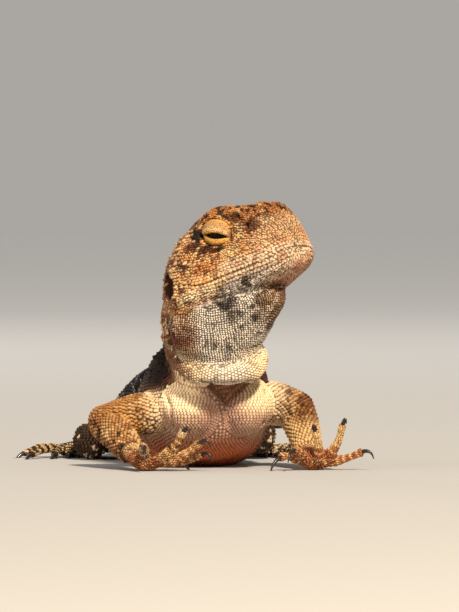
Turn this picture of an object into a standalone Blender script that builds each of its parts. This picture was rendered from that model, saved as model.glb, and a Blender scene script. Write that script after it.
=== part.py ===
"""Slater's ring-tailed dragon, a still life-size model in one alert pose.

The lizard stands with its chest raised on its arms, its head lifted and turned to its left,
its belly, hips and tail on the floor. Lengths below are millimetres; MM turns them into metres.
X is to the right of someone facing the chest, Y runs from the chest back to the tail, Z is up.
The whole animal is modelled as closed surfaces carried along curved paths, joined into one,
and then parted with thin cuts where a person would name its parts.
"""

import math

import bmesh
import bpy
import numpy as np
from mathutils import Vector

MM = 0.001

# The driving dimensions
SNOUT_TO_EAR = 22.3
HEAD_HALF_WIDTH = 10.0
TRUNK_HALF_WIDTH = 11.4
TAIL_ROOT_RADIUS = 4.3
TAIL_TIP_RADIUS = 0.42
UPPER_ARM_RADIUS = 3.4
FOREARM_RADIUS = 2.8
THIGH_RADIUS = 3.7
SHANK_RADIUS = 2.9
FINGER_RADIUS = 0.95
TOE_RADIUS = 0.85
CLAW_LENGTH = 3.0
CLAW_RADIUS = 0.42
EYE_RADIUS = 2.5
LID_RADIUS = 3.2
GAP = 0.3
FLOOR_DIP = 0.35

# How the head is held: turned to the animal's left, lifted and tilted a little
HEAD_YAW = math.radians(48.0)
HEAD_PITCH = math.radians(20.0)
HEAD_ROLL = math.radians(3.0)
EARS_MIDDLE = np.array((-2.9, -2.0, 32.6))

# How finely the surfaces are divided
BODY_SIDES = 28
BODY_STEPS = 36
HEAD_SIDES = 40
HEAD_STEPS = 32
THROAT_SIDES = 24
LIMB_SIDES = 12
DIGIT_SIDES = 7
TAIL_SIDES = 12

HEAD_STATIONS = {
    # name: forward, half width, top, bottom, height of the widest line, squareness above and below
    "inside the neck": (-7.8, 4.0, 3.0, -5.4, -2.0, 2.0, 2.0),
    "nape": (-4.6, 7.3, 6.4, -6.6, -1.8, 2.2, 2.1),
    "ear": (-0.5, 9.8, 8.9, -6.6, -1.3, 2.4, 2.2),
    "temple": (3.6, HEAD_HALF_WIDTH, 10.0, -6.4, -1.3, 2.8, 2.4),
    "behind the eye": (7.2, 9.5, 10.5, -6.2, -1.3, 3.6, 2.6),
    "eye": (10.6, 8.9, 10.4, -6.0, -1.3, 4.4, 2.7),
    "before the eye": (13.6, 8.1, 10.2, -5.7, -1.3, 4.2, 2.5),
    "nostril": (16.6, 7.2, 9.8, -5.3, -1.3, 3.5, 2.4),
    "muzzle": (18.8, 6.4, 8.7, -4.9, -1.2, 3.1, 2.3),
    "lip": (20.5, 5.3, 6.9, -4.4, -1.1, 2.7, 2.2),
    "before the tip": (21.6, 3.7, 4.3, -3.6, -0.9, 2.3, 2.0),
    "tip": (SNOUT_TO_EAR, 0.0, -0.4, -0.4, -0.4, 2.0, 2.0),
}
HEAD_LEAN = 0.15

HEAD_FORMS = {
    # name: place forward, out and up; reach forward, out and up; how far it stands out
    "brow": ((12.4, 6.2, 10.2), (3.7, 2.0, 2.1), 1.7),
    "rear brow": ((7.0, 7.2, 8.8), (1.9, 1.6, 1.5), 0.4),
    "orbit": ((10.5, 8.6, 4.9), (3.4, 3.0, 2.5), -1.3),
    "lore": ((15.2, 7.4, 3.6), (2.0, 3.0, 1.7), -0.5),
    "canthus": ((17.2, 5.4, 7.6), (2.4, 1.5, 1.4), 0.6),
    "nasal swelling": ((17.6, 6.0, 4.9), (1.7, 1.6, 1.4), 0.35),
    "temple muscle": ((3.6, 8.6, 4.4), (3.0, 3.0, 2.4), 0.5),
    "jowl": ((0.6, 10.0, -3.2), (4.0, 3.5, 2.6), 0.9),
    "crown dip": ((14.0, 1.6, 10.0), (3.4, 2.2, 2.2), -2.2),
    "crown": ((3.0, 0.0, 10.0), (2.6, 3.0, 2.0), 0.3),
}
LIP_HEIGHT = -2.0
LIP_SWELL = 0.3
EYE_PLACE = (10.5, 4.9, 5.8)
SLIT_TILT = math.radians(-23.0)
SLIT_HALF_LENGTH = 2.3
SLIT_UP = 0.4
SLIT_DOWN = 0.7
EAR_PLACE = (-1.5, 9.6, 0.6)
EAR_HALF = (2.1, 3.0)
EAR_DEPTH = 1.3
EAR_TILT = math.radians(24.0)
NOSTRIL_PLACE = (17.5, 6.6, 5.2)
NOSTRIL_RADIUS = 0.7

BODY_STATIONS = {
    # name: x, y, z, half width, height above, depth below
    "inside the head": (-4.8, -0.4, 32.5, 5.6, 4.4, 6.0),
    "nape": (-3.9, 0.6, 28.6, 7.5, 5.8, 8.6),
    "mid neck": (-3.0, 1.8, 24.0, 7.9, 6.4, 9.4),
    "neck base": (-2.1, 3.6, 19.6, 8.4, 6.4, 10.2),
    "shoulder": (-2.8, 7.0, 16.2, 10.5, 7.0, 13.2),
    "armpit": (-3.8, 13.0, 12.8, 11.2, 7.4, 12.8),
    "ribs": (-4.0, 22.0, 10.8, 12.5, 7.2, 11.2),
    "belly": (-8.0, 33.0, 8.6, TRUNK_HALF_WIDTH, 6.9, 8.9),
    "loin": (-11.0, 44.0, 6.9, 9.9, 5.6, 7.25),
    "hips": (-13.2, 54.5, 6.0, 6.7, 5.2, 6.35),
    "vent": (-14.9, 62.0, 4.8, 4.9, 4.3, 5.15),
    "inside the tail": (-16.4, 68.0, 4.2, 3.6, 3.2, 3.6),
}

THROAT_STATIONS = {
    # name: x, y, z of the middle, then reach forward, back and out
    "under the tongue": (-1.6, -3.2, 32.0, 15.2, 4.8, 6.8),
    "jaw line": (-1.6, -3.0, 29.2, 13.9, 6.0, 9.1),
    "full pouch": (-2.1, -3.0, 25.2, 11.3, 6.2, 9.0),
    "low pouch": (-2.2, -3.4, 21.8, 8.8, 5.0, 8.4),
    "fold": (-2.0, -3.8, 19.2, 6.9, 3.6, 6.4),
    "inside the collar": (-1.8, -3.0, 17.4, 4.8, 2.4, 4.0),
}

COLLAR = (
    # x, y, z, radius of the loose fold of skin round the front of the neck
    (-9.0, 0.4, 20.8, 1.0),
    (-7.9, -3.4, 19.4, 1.5),
    (-5.4, -7.0, 17.6, 2.1),
    (-1.6, -8.9, 16.7, 2.5),
    (2.2, -8.5, 16.9, 2.4),
    (4.8, -6.2, 18.0, 2.2),
    (5.8, -2.4, 20.0, 1.8),
    (5.2, 1.6, 21.8, 1.2),
)

ARMS = {
    # side: shoulder, elbow, wrist, middle of the palm
    "right": ((-6.8, 3.4, 10.4), (-21.0, 7.4, 8.0), (-16.4, -4.2, 3.1), (-13.6, -8.0, 1.9)),
    "left": ((4.6, 3.2, 11.7), (12.7, 10.6, 10.2), (14.6, -0.2, 3.5), (15.8, -3.6, 1.7)),
}

PECTORALS = (((-5.6, 0.5, 10.8), 5.2), ((3.4, 0.9, 11.0), 5.0))

FINGERS = {
    # side: for each digit the way it points from the palm, its knuckle and its tip
    "right": (
        ((-11.6, -5.2, 2.0), (-9.4, -3.6, 2.3), (-7.8, -3.0, 1.6)),
        ((-10.4, -7.6, 1.5), (-5.8, -7.6, 2.1), (-4.0, -8.2, 2.9)),
        ((-9.8, -8.8, 1.6), (-6.6, -10.0, 3.2), (-4.2, -10.8, 5.1)),
        ((-11.4, -9.2, 2.2), (-8.7, -10.8, 4.4), (-7.1, -12.4, 7.2)),
        ((-13.8, -9.4, 2.2), (-14.2, -12.4, 4.4), (-14.1, -14.2, 4.4)),
    ),
    "left": (
        ((13.4, -4.4, 1.7), (11.2, -5.6, 2.6), (9.6, -6.8, 2.2)),
        ((14.0, -5.0, 2.0), (12.8, -7.4, 3.4), (12.0, -9.0, 3.6)),
        ((16.2, -5.2, 1.9), (16.4, -7.2, 4.6), (15.8, -7.8, 7.2)),
        ((17.6, -3.8, 2.2), (19.6, -4.6, 4.6), (20.7, -5.4, 8.2)),
        ((18.0, -2.8, 1.4), (21.2, -3.2, 2.0), (24.1, -4.0, 3.2)),
    ),
}

LEGS = {
    # side: hip, knee, ankle, middle of the sole, heading of the foot in degrees from the camera
    "right": ((-16.4, 53.4, 5.3), (-24.4, 41.0, 3.5), (-23.9, 58.6, 2.7), (-27.8, 57.4, 1.3), 16.0),
    "left": ((-10.0, 52.6, 5.6), (6.2, 43.6, 4.6), (1.4, 59.6, 2.7), (6.4, 57.8, 1.3), -30.0),
}
SHOULDERS = {
    # side: where the arm leaves the chest, and the way that cut faces
    "right": ((-13.6, 5.0, 10.2), (-0.93, -0.36, 0.0)),
    "left": ((9.7, 6.8, 11.6), (1.0, 0.06, 0.0)),
}
GROINS = {
    # side: where the thigh leaves the flank, and the way that cut faces
    "right": ((-20.8, 49.6, 5.6), (-1.0, 0.03, 0.0)),
    "left": ((-1.2, 47.2, 6.0), (0.89, 0.45, 0.0)),
}
TOE_LENGTHS = (3.5, 6.0, 9.0, 12.0, 7.5)
TOE_SPREAD = (24.0, 12.0, 0.0, -14.0, -42.0)

TAIL_BENDS = (
    # x, y of the tail's middle line on the floor
    (-14.6, 58.0),
    (-16.2, 66.0),
    (-20.0, 84.0),
    (-22.6, 108.0),
    (-20.0, 136.0),
    (-10.5, 164.0),
    (2.0, 190.0),
    (17.5, 212.0),
)

CREST_COUNT = 11
CREST_HEIGHT = 1.3

COLOURS = {
    "head": (0.55, 0.34, 0.17),
    "throat": (0.47, 0.42, 0.36),
    "neck": (0.62, 0.50, 0.33),
    "chest": (0.66, 0.55, 0.42),
    "belly": (0.10, 0.07, 0.05),
    "hips": (0.13, 0.09, 0.07),
    "eye": (0.02, 0.015, 0.01),
    "limb": (0.50, 0.30, 0.15),
    "hand": (0.46, 0.27, 0.13),
    "tail": (0.30, 0.20, 0.12),
}


def smooth_rows(rows, count):
    """Rows read at count even steps along a Catmull-Rom curve through them."""
    rows = np.array(rows, dtype=float)
    ends = np.vstack([2 * rows[0] - rows[1], rows, 2 * rows[-1] - rows[-2]])
    place = np.linspace(0, len(rows) - 1, count)
    first = np.minimum(place.astype(int), len(rows) - 2)
    t = (place - first)[:, None]
    p0, p1, p2, p3 = (ends[first + k] for k in range(4))
    return 0.5 * (
        2 * p1 + (p2 - p0) * t + (2 * p0 - 5 * p1 + 4 * p2 - p3) * t**2
        + (3 * p1 - p0 - 3 * p2 + p3) * t**3
    )


def unit(vectors):
    return vectors / np.linalg.norm(vectors, axis=-1, keepdims=True)


def head_axes():
    """Unit vectors forward, out to the animal's right, and up, for the lifted and turned head."""
    sin_y, cos_y = math.sin(HEAD_YAW), math.cos(HEAD_YAW)
    sin_p, cos_p = math.sin(HEAD_PITCH), math.cos(HEAD_PITCH)
    forward = np.array((sin_y * cos_p, -cos_y * cos_p, sin_p))
    level_out = np.array((-cos_y, -sin_y, 0.0))
    level_up = np.cross(level_out, forward)
    out = level_out * math.cos(HEAD_ROLL) - level_up * math.sin(HEAD_ROLL)
    up = level_up * math.cos(HEAD_ROLL) + level_out * math.sin(HEAD_ROLL)
    return forward, out, up


def from_head(places):
    """World places of points given forward, out and up from the middle between the ears."""
    return EARS_MIDDLE + np.asarray(places, dtype=float) @ np.array(head_axes())


def path_frames(path, up_hint):
    """Tangent, side and up at each point of a path; up leans towards the hint."""
    tangent = unit(np.gradient(path, axis=0))
    side = unit(np.cross(tangent, np.asarray(up_hint, dtype=float)))
    return tangent, side, np.cross(side, tangent)


def rings_to_mesh(name, rings):
    """A closed mesh object from rings of points, each end closed by a fan to its middle."""
    steps, sides, _ = rings.shape
    middles = rings[[0, -1]].mean(axis=1)
    points = np.vstack([rings.reshape(-1, 3), middles]) * MM
    ring = np.arange(steps * sides).reshape(steps, sides)
    turn = np.roll(ring, -1, axis=1)
    sheet = np.stack([ring[:-1], turn[:-1], turn[1:], ring[1:]], axis=-1).reshape(-1, 4)
    first, last = steps * sides, steps * sides + 1
    fans = [(first, b, a) for a, b in zip(ring[0], turn[0])]
    fans += [(last, a, b) for a, b in zip(ring[-1], turn[-1])]
    mesh = bpy.data.meshes.new(name)
    mesh.from_pydata(points.tolist(), [], sheet.tolist() + fans)
    work = bmesh.new()
    work.from_mesh(mesh)
    bmesh.ops.remove_doubles(work, verts=work.verts, dist=1e-6)
    bmesh.ops.recalc_face_normals(work, faces=work.faces)
    if work.calc_volume(signed=True) < 0:
        bmesh.ops.reverse_faces(work, faces=work.faces)
    work.to_mesh(mesh)
    work.free()
    obj = bpy.data.objects.new(name, mesh)
    bpy.context.scene.collection.objects.link(obj)
    return obj


def tube(name, path, radii, sides, up_hint=(0, 0, 1), flat=1.0):
    """A round tube along a path; flat squeezes it along its up direction."""
    _, side, up = path_frames(path, up_hint)
    turn = np.linspace(0, 2 * np.pi, sides, endpoint=False)
    radii = np.broadcast_to(radii, len(path))[:, None, None]
    rings = path[:, None] + radii * (
        np.cos(turn)[None, :, None] * side[:, None]
        + flat * np.sin(turn)[None, :, None] * up[:, None]
    )
    return rings_to_mesh(name, rings)


def body_surface(steps, sides):
    """Sections carried along the spine: a wide oval with its own height above and depth below."""
    rows = smooth_rows(list(BODY_STATIONS.values()), steps)
    path, width, above, below = rows[:, :3], rows[:, 3], rows[:, 4], rows[:, 5]
    _, side, up = path_frames(path, (0.0, 1.0, 1.0))
    turn = np.linspace(0, 2 * np.pi, sides, endpoint=False)
    sin, cos = np.sin(turn), np.cos(turn)
    height = np.where(cos[None] > 0, above[:, None], below[:, None])
    rise = np.sign(cos) * np.abs(cos) ** 0.9
    reach = np.sign(sin) * np.abs(sin) ** 0.85
    return (
        path[:, None]
        + (width[:, None] * reach[None])[..., None] * side[:, None]
        + (height * rise[None])[..., None] * up[:, None]
    )


def head_surface(steps, sides):
    """Sections across the skull, squared by their own power, then swollen or hollowed by the forms."""
    rows = smooth_rows(list(HEAD_STATIONS.values()), steps)
    ahead, width, top, bottom, level, square, low_square = rows.T
    width = np.maximum(width, 0.0)
    turn = np.linspace(0, 2 * np.pi, sides, endpoint=False)
    sin, cos = np.sin(turn), np.cos(turn)
    power = 2 / np.where(cos[None] > 0, square[:, None], low_square[:, None])
    rise = np.sign(cos) * np.abs(cos) ** power
    out = width[:, None] * np.sign(sin) * np.abs(sin) ** power * (1 - HEAD_LEAN * rise.clip(0))
    height = np.where(cos[None] > 0, (top - level)[:, None], (level - bottom)[:, None])
    up = level[:, None] + height * rise
    forward = np.repeat(ahead[:, None], sides, axis=1)
    swell = LIP_SWELL * np.exp(-(((up - LIP_HEIGHT) / 1.3) ** 2))
    for place, reach, amount in HEAD_FORMS.values():
        far = (
            ((forward - place[0]) / reach[0]) ** 2
            + ((np.abs(out) - place[1]) / reach[1]) ** 2
            + ((up - place[2]) / reach[2]) ** 2
        )
        swell = swell + amount * np.exp(-far)
    middle = ((top + bottom) / 2)[:, None]
    distance = np.hypot(out, up - middle) + 1e-6
    swell = swell * np.minimum(1, width / 3.0)[:, None]
    places = np.stack(
        [forward, out * (1 + swell / distance), middle + (up - middle) * (1 + swell / distance)],
        axis=-1,
    )
    return from_head(places)


def throat_surface(steps, sides):
    """Level rings from the jaw down to the collar: an oval with its own reach forward and back."""
    rows = smooth_rows(list(THROAT_STATIONS.values()), steps)
    turn = np.linspace(0, 2 * np.pi, sides, endpoint=False)
    sin, cos = np.sin(turn), np.cos(turn)
    ahead = np.array((math.sin(HEAD_YAW), -math.cos(HEAD_YAW), 0.0))
    outward = np.array((-math.cos(HEAD_YAW), -math.sin(HEAD_YAW), 0.0))
    reach = np.where(cos[None] > 0, rows[:, 3:4], rows[:, 4:5])
    return (
        rows[:, None, :3]
        + (reach * cos[None])[..., None] * ahead
        + (rows[:, 5:6] * sin[None])[..., None] * outward
    )


def claw(name, root, direction):
    """A tapering claw that leaves along the digit and hooks down."""
    direction = unit(np.asarray(direction, dtype=float))
    down = np.array((0.0, 0.0, -1.0))
    along = np.linspace(-0.25, 1, 5)[:, None]
    path = root + CLAW_LENGTH * (direction * np.sin(along * 1.3) / 1.3 + down * along * np.abs(along) * 0.7)
    return tube(name, path, CLAW_RADIUS * (1 - 0.7 * np.clip(along[:, 0], 0, 1)), 5)


def digit(name, root, points, radius):
    """A finger or toe from inside the palm through its knuckle to its claw."""
    path = smooth_rows([root, *points], 7)
    along = np.linspace(0, 1, len(path))
    bulge = 1 + 0.10 * np.cos(along * 4 * np.pi)
    radii = radius * (1.12 - 0.34 * along) * bulge
    last = path[-1] - path[-2]
    return [tube(name, path, radii, DIGIT_SIDES), claw(name + "_claw", path[-1], last)]


def arm(side):
    """Upper arm, forearm, palm and five fingers, as separate closed tubes to be joined."""
    shoulder, elbow, wrist, palm = (np.array(p) for p in ARMS[side])
    upper = smooth_rows([shoulder, (shoulder + elbow) / 2 + (0, 0, 0.4), elbow], 9)
    lower = smooth_rows([elbow, (elbow + wrist) / 2 + (0, 0.5, 0.3), wrist], 9)
    along = np.linspace(0, 1, 9)
    upper_radii = UPPER_ARM_RADIUS * (1.12 - 0.2 * along + 0.08 * np.sin(along * np.pi))
    lower_radii = FOREARM_RADIUS * (1.1 - 0.32 * along**1.5 + 0.08 * np.sin(along * np.pi))
    pieces = [
        tube("upper", upper, upper_radii, LIMB_SIDES),
        tube("lower", lower, lower_radii, LIMB_SIDES),
        ball("elbow", elbow, UPPER_ARM_RADIUS * 0.93),
    ]
    reach = np.array((wrist, (wrist + palm) / 2, palm, palm + 0.35 * (palm - wrist)))
    pieces.append(tube("palm", smooth_rows(reach, 6), (2.0, 2.3, 2.7, 2.9, 2.6, 1.7), 12, flat=0.72))
    for place, points in enumerate(FINGERS[side]):
        pieces += digit(f"finger{place}", palm, [np.array(p) for p in points], FINGER_RADIUS)
    return pieces


def leg(side):
    """Thigh, shank, sole and five spread toes, the fourth the longest."""
    hip, knee, ankle, sole, heading = LEGS[side]
    hip, knee, ankle, sole = (np.array(p) for p in (hip, knee, ankle, sole))
    along = np.linspace(0, 1, 9)
    thigh = smooth_rows([hip, (hip + knee) / 2 + (0, 0, 0.5), knee], 9)
    shank = smooth_rows([knee, (knee + ankle) / 2 + (0, 0, 0.4), ankle], 9)
    pieces = [
        tube("thigh", thigh, THIGH_RADIUS * (1.05 - 0.3 * along), LIMB_SIDES),
        tube("shank", shank, SHANK_RADIUS * (1.15 - 0.45 * along), LIMB_SIDES),
        ball("knee", knee, THIGH_RADIUS * 0.76),
    ]
    turn = math.radians(heading)
    ahead = np.array((-math.sin(turn), -math.cos(turn), 0.0))
    across = np.array((-math.cos(turn), math.sin(turn), 0.0)) * (1 if side == "left" else -1)
    front = sole + 3.4 * ahead
    pieces.append(
        tube("sole", smooth_rows([ankle, sole, front], 6), (1.9, 2.1, 2.4, 2.6, 2.3, 1.5), 12, flat=0.6)
    )
    for place, (length, spread) in enumerate(zip(TOE_LENGTHS, TOE_SPREAD)):
        way = math.radians(spread)
        aim = ahead * math.cos(way) + across * math.sin(way)
        root = sole + 1.6 * ahead + across * math.sin(way) * 1.2
        knuckle = root + aim * (2.0 + length * 0.45) + (0, 0, 0.5)
        tip = root + aim * (2.0 + length) - (0, 0, 0.55)
        pieces += digit(f"toe{place}", root, [knuckle, tip], TOE_RADIUS)
    return pieces


def tail():
    """A long taper laid along the floor, sunk by the flat it rests on."""
    spots = smooth_rows(TAIL_BENDS, 46)
    steps = np.linalg.norm(np.diff(spots, axis=0), axis=1)
    share = np.concatenate([[0], np.cumsum(steps)]) / steps.sum()
    radii = TAIL_ROOT_RADIUS + (TAIL_TIP_RADIUS - TAIL_ROOT_RADIUS) * share**0.72
    path = np.column_stack([spots, radii - FLOOR_DIP * (1 - 0.6 * share)])
    return tube("tail", path, radii, TAIL_SIDES)


def ball(name, middle, radius, sides=14):
    """A closed ball of level rings."""
    tilt = np.linspace(0.02, np.pi - 0.02, sides // 2 + 1)
    turn = np.linspace(0, 2 * np.pi, sides, endpoint=False)
    ring = np.stack(
        [
            np.sin(tilt)[:, None] * np.cos(turn),
            np.sin(tilt)[:, None] * np.sin(turn),
            np.repeat(np.cos(tilt)[:, None], sides, axis=1),
        ],
        axis=-1,
    )
    return rings_to_mesh(name, np.asarray(middle) + radius * ring)


def crest():
    """Low pointed scales down the middle of the nape and on to the shoulders."""
    rows = smooth_rows(list(BODY_STATIONS.values()), BODY_STEPS)
    path, above = rows[:, :3], rows[:, 4]
    _, _, up = path_frames(path, (0.0, 1.0, 1.0))
    ridge = path + above[:, None] * up
    spots = np.linspace(4.0, 18.0, CREST_COUNT)
    pieces = []
    for place, spot in enumerate(spots):
        low = int(spot)
        share = spot - low
        base = ridge[low] * (1 - share) + ridge[low + 1] * share
        back = unit(ridge[low + 1] - ridge[low])
        height = CREST_HEIGHT * (0.75 + 0.25 * math.sin(place * 2.4)) * (1 - 0.4 * place / CREST_COUNT)
        spine = np.array((base - 1.2 * up[low], base, base + height * up[low] + 0.7 * height * back))
        pieces.append(tube("crest", spine, (0.8, 0.7, 0.14), 5, up_hint=(1.0, 0.0, 0.0)))
    return pieces


def slab(name, middle, normal, radius, thickness=GAP):
    """A thin round cutter across the body."""
    normal = unit(np.asarray(normal, dtype=float))
    middle = np.asarray(middle, dtype=float)
    path = middle + np.array((-0.5, 0.5))[:, None] * thickness * normal
    hint = (0.0, 0.0, 1.0) if abs(normal[2]) < 0.9 else (1.0, 0.0, 0.0)
    return tube(name, path, radius, 24, up_hint=hint)


def prism(name, outline, axis_from, axis_to):
    """A closed bar whose section is an outline in the head's own forward and up directions."""
    outline = np.asarray(outline, dtype=float)
    ends = [
        from_head(np.column_stack([outline[:, 0], np.full(len(outline), out), outline[:, 1]]))
        for out in (axis_from, axis_to)
    ]
    return rings_to_mesh(name, np.array(ends))


def strip(start, end, thickness):
    """The four corners of a straight strip between two places."""
    start, end = np.array(start, dtype=float), np.array(end, dtype=float)
    along = unit(end - start)
    across = np.array((-along[1], along[0])) * thickness / 2
    return np.array((start + across, start - across, end - across, end + across))


def head_cutters():
    """Eye sockets and slits, ear cups, nostrils, the line of the mouth and the cuts to the neck."""
    pieces = []
    slit = np.linspace(0, np.pi, 9)
    upper = np.column_stack([SLIT_HALF_LENGTH * np.cos(slit), SLIT_UP * np.sin(slit)])
    lower = np.column_stack([-SLIT_HALF_LENGTH * np.cos(slit), -SLIT_DOWN * np.sin(slit)])[1:-1]
    outline = np.vstack([upper, lower])
    cos_t, sin_t = math.cos(SLIT_TILT), math.sin(SLIT_TILT)
    outline = outline @ np.array(((cos_t, sin_t), (-sin_t, cos_t)))
    outline = outline + (EYE_PLACE[0], EYE_PLACE[2])
    turn = np.linspace(0, 2 * np.pi, 16, endpoint=False)
    for side in (1, -1):
        place = from_head((EYE_PLACE[0], side * EYE_PLACE[1], EYE_PLACE[2]))
        pieces.append(ball("socket", place, EYE_RADIUS + GAP, sides=18))
        pieces.append(prism("slit", outline, side * 6.2, side * 11.0))
        cup = np.column_stack([EAR_HALF[0] * np.cos(turn), EAR_HALF[1] * np.sin(turn)])
        cos_e, sin_e = math.cos(-EAR_TILT), math.sin(-EAR_TILT)
        cup = cup @ np.array(((cos_e, sin_e), (-sin_e, cos_e))) + (EAR_PLACE[0], EAR_PLACE[2])
        pieces.append(prism("ear", cup, side * (EAR_PLACE[1] - EAR_DEPTH), side * 14.0))
        hole = from_head((NOSTRIL_PLACE[0], side * NOSTRIL_PLACE[1], NOSTRIL_PLACE[2]))
        pieces.append(ball("nostril", hole, NOSTRIL_RADIUS, sides=10))
    pieces.append(mouth_line())
    return pieces


def lip_height(ahead):
    """The line of the lips: up at the corner of the mouth, level on the cheek, up again at the tip."""
    corner = 0.9 * np.clip((9 - ahead) / 5, 0, 1) ** 2
    return LIP_HEIGHT + corner + 1.3 * np.clip((ahead - 18.5) / 3.8, 0, 1) ** 2


def mouth_line():
    """A fine tube that runs just under the skin from one corner of the mouth round to the other."""
    rows = smooth_rows(list(HEAD_STATIONS.values()), HEAD_STEPS)
    keep = rows[(rows[:, 0] > 4.5) & (rows[:, 0] < SNOUT_TO_EAR - 0.9)]
    out = keep[:, 1] + LIP_SWELL * 0.9
    near = np.column_stack([keep[:, 0], out, lip_height(keep[:, 0])])
    front = lip_height(SNOUT_TO_EAR)
    tip = np.array(((SNOUT_TO_EAR, 1.0, front), (SNOUT_TO_EAR, -1.0, front)))
    far = near[::-1] * (1, -1, 1)
    path = smooth_rows(from_head(np.vstack([near, tip, far])), 44)
    return tube("mouth", path, 0.36, 6)


def head_cuts():
    """Three thin strips that meet under the jaw: head from neck, head from throat, throat from neck."""
    meeting = (-4.5, -5.6)
    ends = ((-4.5, 15.0), (28.5, -3.2), (8.0, -19.2))
    return [prism("parting", strip(meeting, end, GAP), -17.0, 17.0) for end in ends]


def body_cuts():
    """Thin slabs across the spine, the tail and each limb."""
    pieces = [
        slab("neck_cut", (-2.0, 0.0, 16.9), (0.0, -0.37, 0.93), 17.0),
        slab("chest_cut", (-4.9, 16.0, 10.0), (0.27, -0.93, 0.25), 19.0),
        slab("belly_cut", (-11.4, 42.5, 7.0), (0.2, -0.97, 0.1), 13.0),
        slab("hips_cut", (-15.6, 63.0, 4.4), (0.2, -1.0, 0.0), 7.0),
    ]
    spots = smooth_rows(TAIL_BENDS, 61)
    for share in (0.30, 0.52, 0.76):
        place = int(share * 60)
        ahead = spots[place + 1] - spots[place - 1]
        pieces.append(slab("tail_cut", (*spots[place], 2.0), (*ahead, 0.0), 6.0))
    for side in ("right", "left"):
        shoulder, elbow, wrist, palm = (np.array(p) for p in ARMS[side])
        hip, knee, ankle, sole = (np.array(p) for p in LEGS[side][:4])
        upper, lower, hand = unit(elbow - shoulder), unit(wrist - elbow), unit(palm - wrist)
        thigh, shank, foot = unit(knee - hip), unit(ankle - knee), unit(sole - ankle)
        pieces += [
            slab("shoulder_cut", *SHOULDERS[side], 6.4),
            slab("elbow_cut", elbow + 2.4 * unit(lower - upper), upper + lower, 6.6),
            slab("wrist_cut", wrist, lower + hand, 3.6),
            slab("hip_cut", *GROINS[side], 9.5),
            slab("knee_cut", knee + 4.6 * unit(shank - thigh), thigh + shank, 9.4),
            slab("ankle_cut", ankle + 1.0 * unit(foot - shank), shank + foot, 4.2),
        ]
    return pieces


def combine(base, pieces, operation):
    """The base with every piece joined to it or cut from it by one Boolean; the pieces are removed."""
    group = bpy.data.collections.new("pieces")
    bpy.context.scene.collection.children.link(group)
    for piece in pieces:
        bpy.context.scene.collection.objects.unlink(piece)
        group.objects.link(piece)
    modifier = base.modifiers.new("combine", "BOOLEAN")
    modifier.operation = operation
    modifier.operand_type = "COLLECTION"
    modifier.collection = group
    modifier.solver = "MANIFOLD"
    bpy.context.view_layer.update()
    graph = bpy.context.evaluated_depsgraph_get()
    mesh = bpy.data.meshes.new_from_object(base.evaluated_get(graph))
    base.modifiers.clear()
    base.data = mesh
    for piece in pieces:
        bpy.data.objects.remove(piece)
    bpy.data.collections.remove(group)
    return base


def loose_parts(obj):
    """The connected pieces of a mesh, as arrays of points and lists of faces, largest first."""
    work = bmesh.new()
    work.from_mesh(obj.data)
    bmesh.ops.remove_doubles(work, verts=work.verts, dist=1e-7)
    bmesh.ops.triangulate(work, faces=work.faces)
    work.verts.ensure_lookup_table()
    seen = np.zeros(len(work.verts), dtype=bool)
    found = []
    for start in work.verts:
        if seen[start.index]:
            continue
        seen[start.index] = True
        group, queue = [], [start]
        while queue:
            vert = queue.pop()
            group.append(vert)
            for edge in vert.link_edges:
                other = edge.other_vert(vert)
                if not seen[other.index]:
                    seen[other.index] = True
                    queue.append(other)
        order = {vert.index: place for place, vert in enumerate(group)}
        points = np.array([vert.co for vert in group])
        faces = {face for vert in group for face in vert.link_faces}
        faces = [[order[v.index] for v in face.verts] for face in sorted(faces, key=lambda f: f.index)]
        found.append((points, faces))
    work.free()
    return sorted(found, key=lambda part: -len(part[1]))


def material(name, colour, roughness):
    made = bpy.data.materials.new(name)
    made.use_nodes = True
    shader = made.node_tree.nodes["Principled BSDF"]
    shader.inputs["Base Color"].default_value = (*colour, 1.0)
    shader.inputs["Roughness"].default_value = roughness
    return made


def add_node(name, points, faces, finish):
    mesh = bpy.data.meshes.new(name)
    mesh.from_pydata(points.tolist(), [], faces)
    mesh.materials.append(finish)
    mesh.shade_smooth()
    mesh.set_sharp_from_angle(angle=math.radians(40.0))
    obj = bpy.data.objects.new(name, mesh)
    bpy.context.scene.collection.objects.link(obj)
    return obj


def node_anchors():
    """A place inside each named part, by which the cut pieces are told apart."""
    spots = smooth_rows(TAIL_BENDS, 61)
    anchors = {
        "head": (from_head((11.0, 0.0, 2.0)), "head"),
        "throat": (from_head((7.0, 0.0, -10.0)), "throat"),
        "neck": ((-3.0, 2.0, 23.0), "neck"),
        "chest": ((-3.0, 8.0, 12.0), "chest"),
        "belly": ((-9.0, 28.0, 8.0), "belly"),
        "hips": ((-13.8, 54.0, 6.0), "hips"),
    }
    for name, share in (("tail_root", 0.15), ("tail_fore", 0.4), ("tail_rear", 0.64), ("tail_tip", 0.9)):
        anchors[name] = ((*spots[int(share * 60)], 1.0), "tail")
    for side in ("right", "left"):
        shoulder, elbow, wrist, palm = (np.array(p) for p in ARMS[side])
        hip, knee, ankle, sole = (np.array(p) for p in LEGS[side][:4])
        anchors["upper_arm_" + side] = (shoulder * 0.4 + elbow * 0.6, "limb")
        anchors["forearm_" + side] = ((elbow + wrist) / 2, "limb")
        anchors["hand_" + side] = (palm, "hand")
        anchors["thigh_" + side] = (hip * 0.35 + knee * 0.65, "limb")
        anchors["shank_" + side] = ((knee + ankle) / 2, "limb")
        anchors["foot_" + side] = (sole, "hand")
    return anchors


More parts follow.
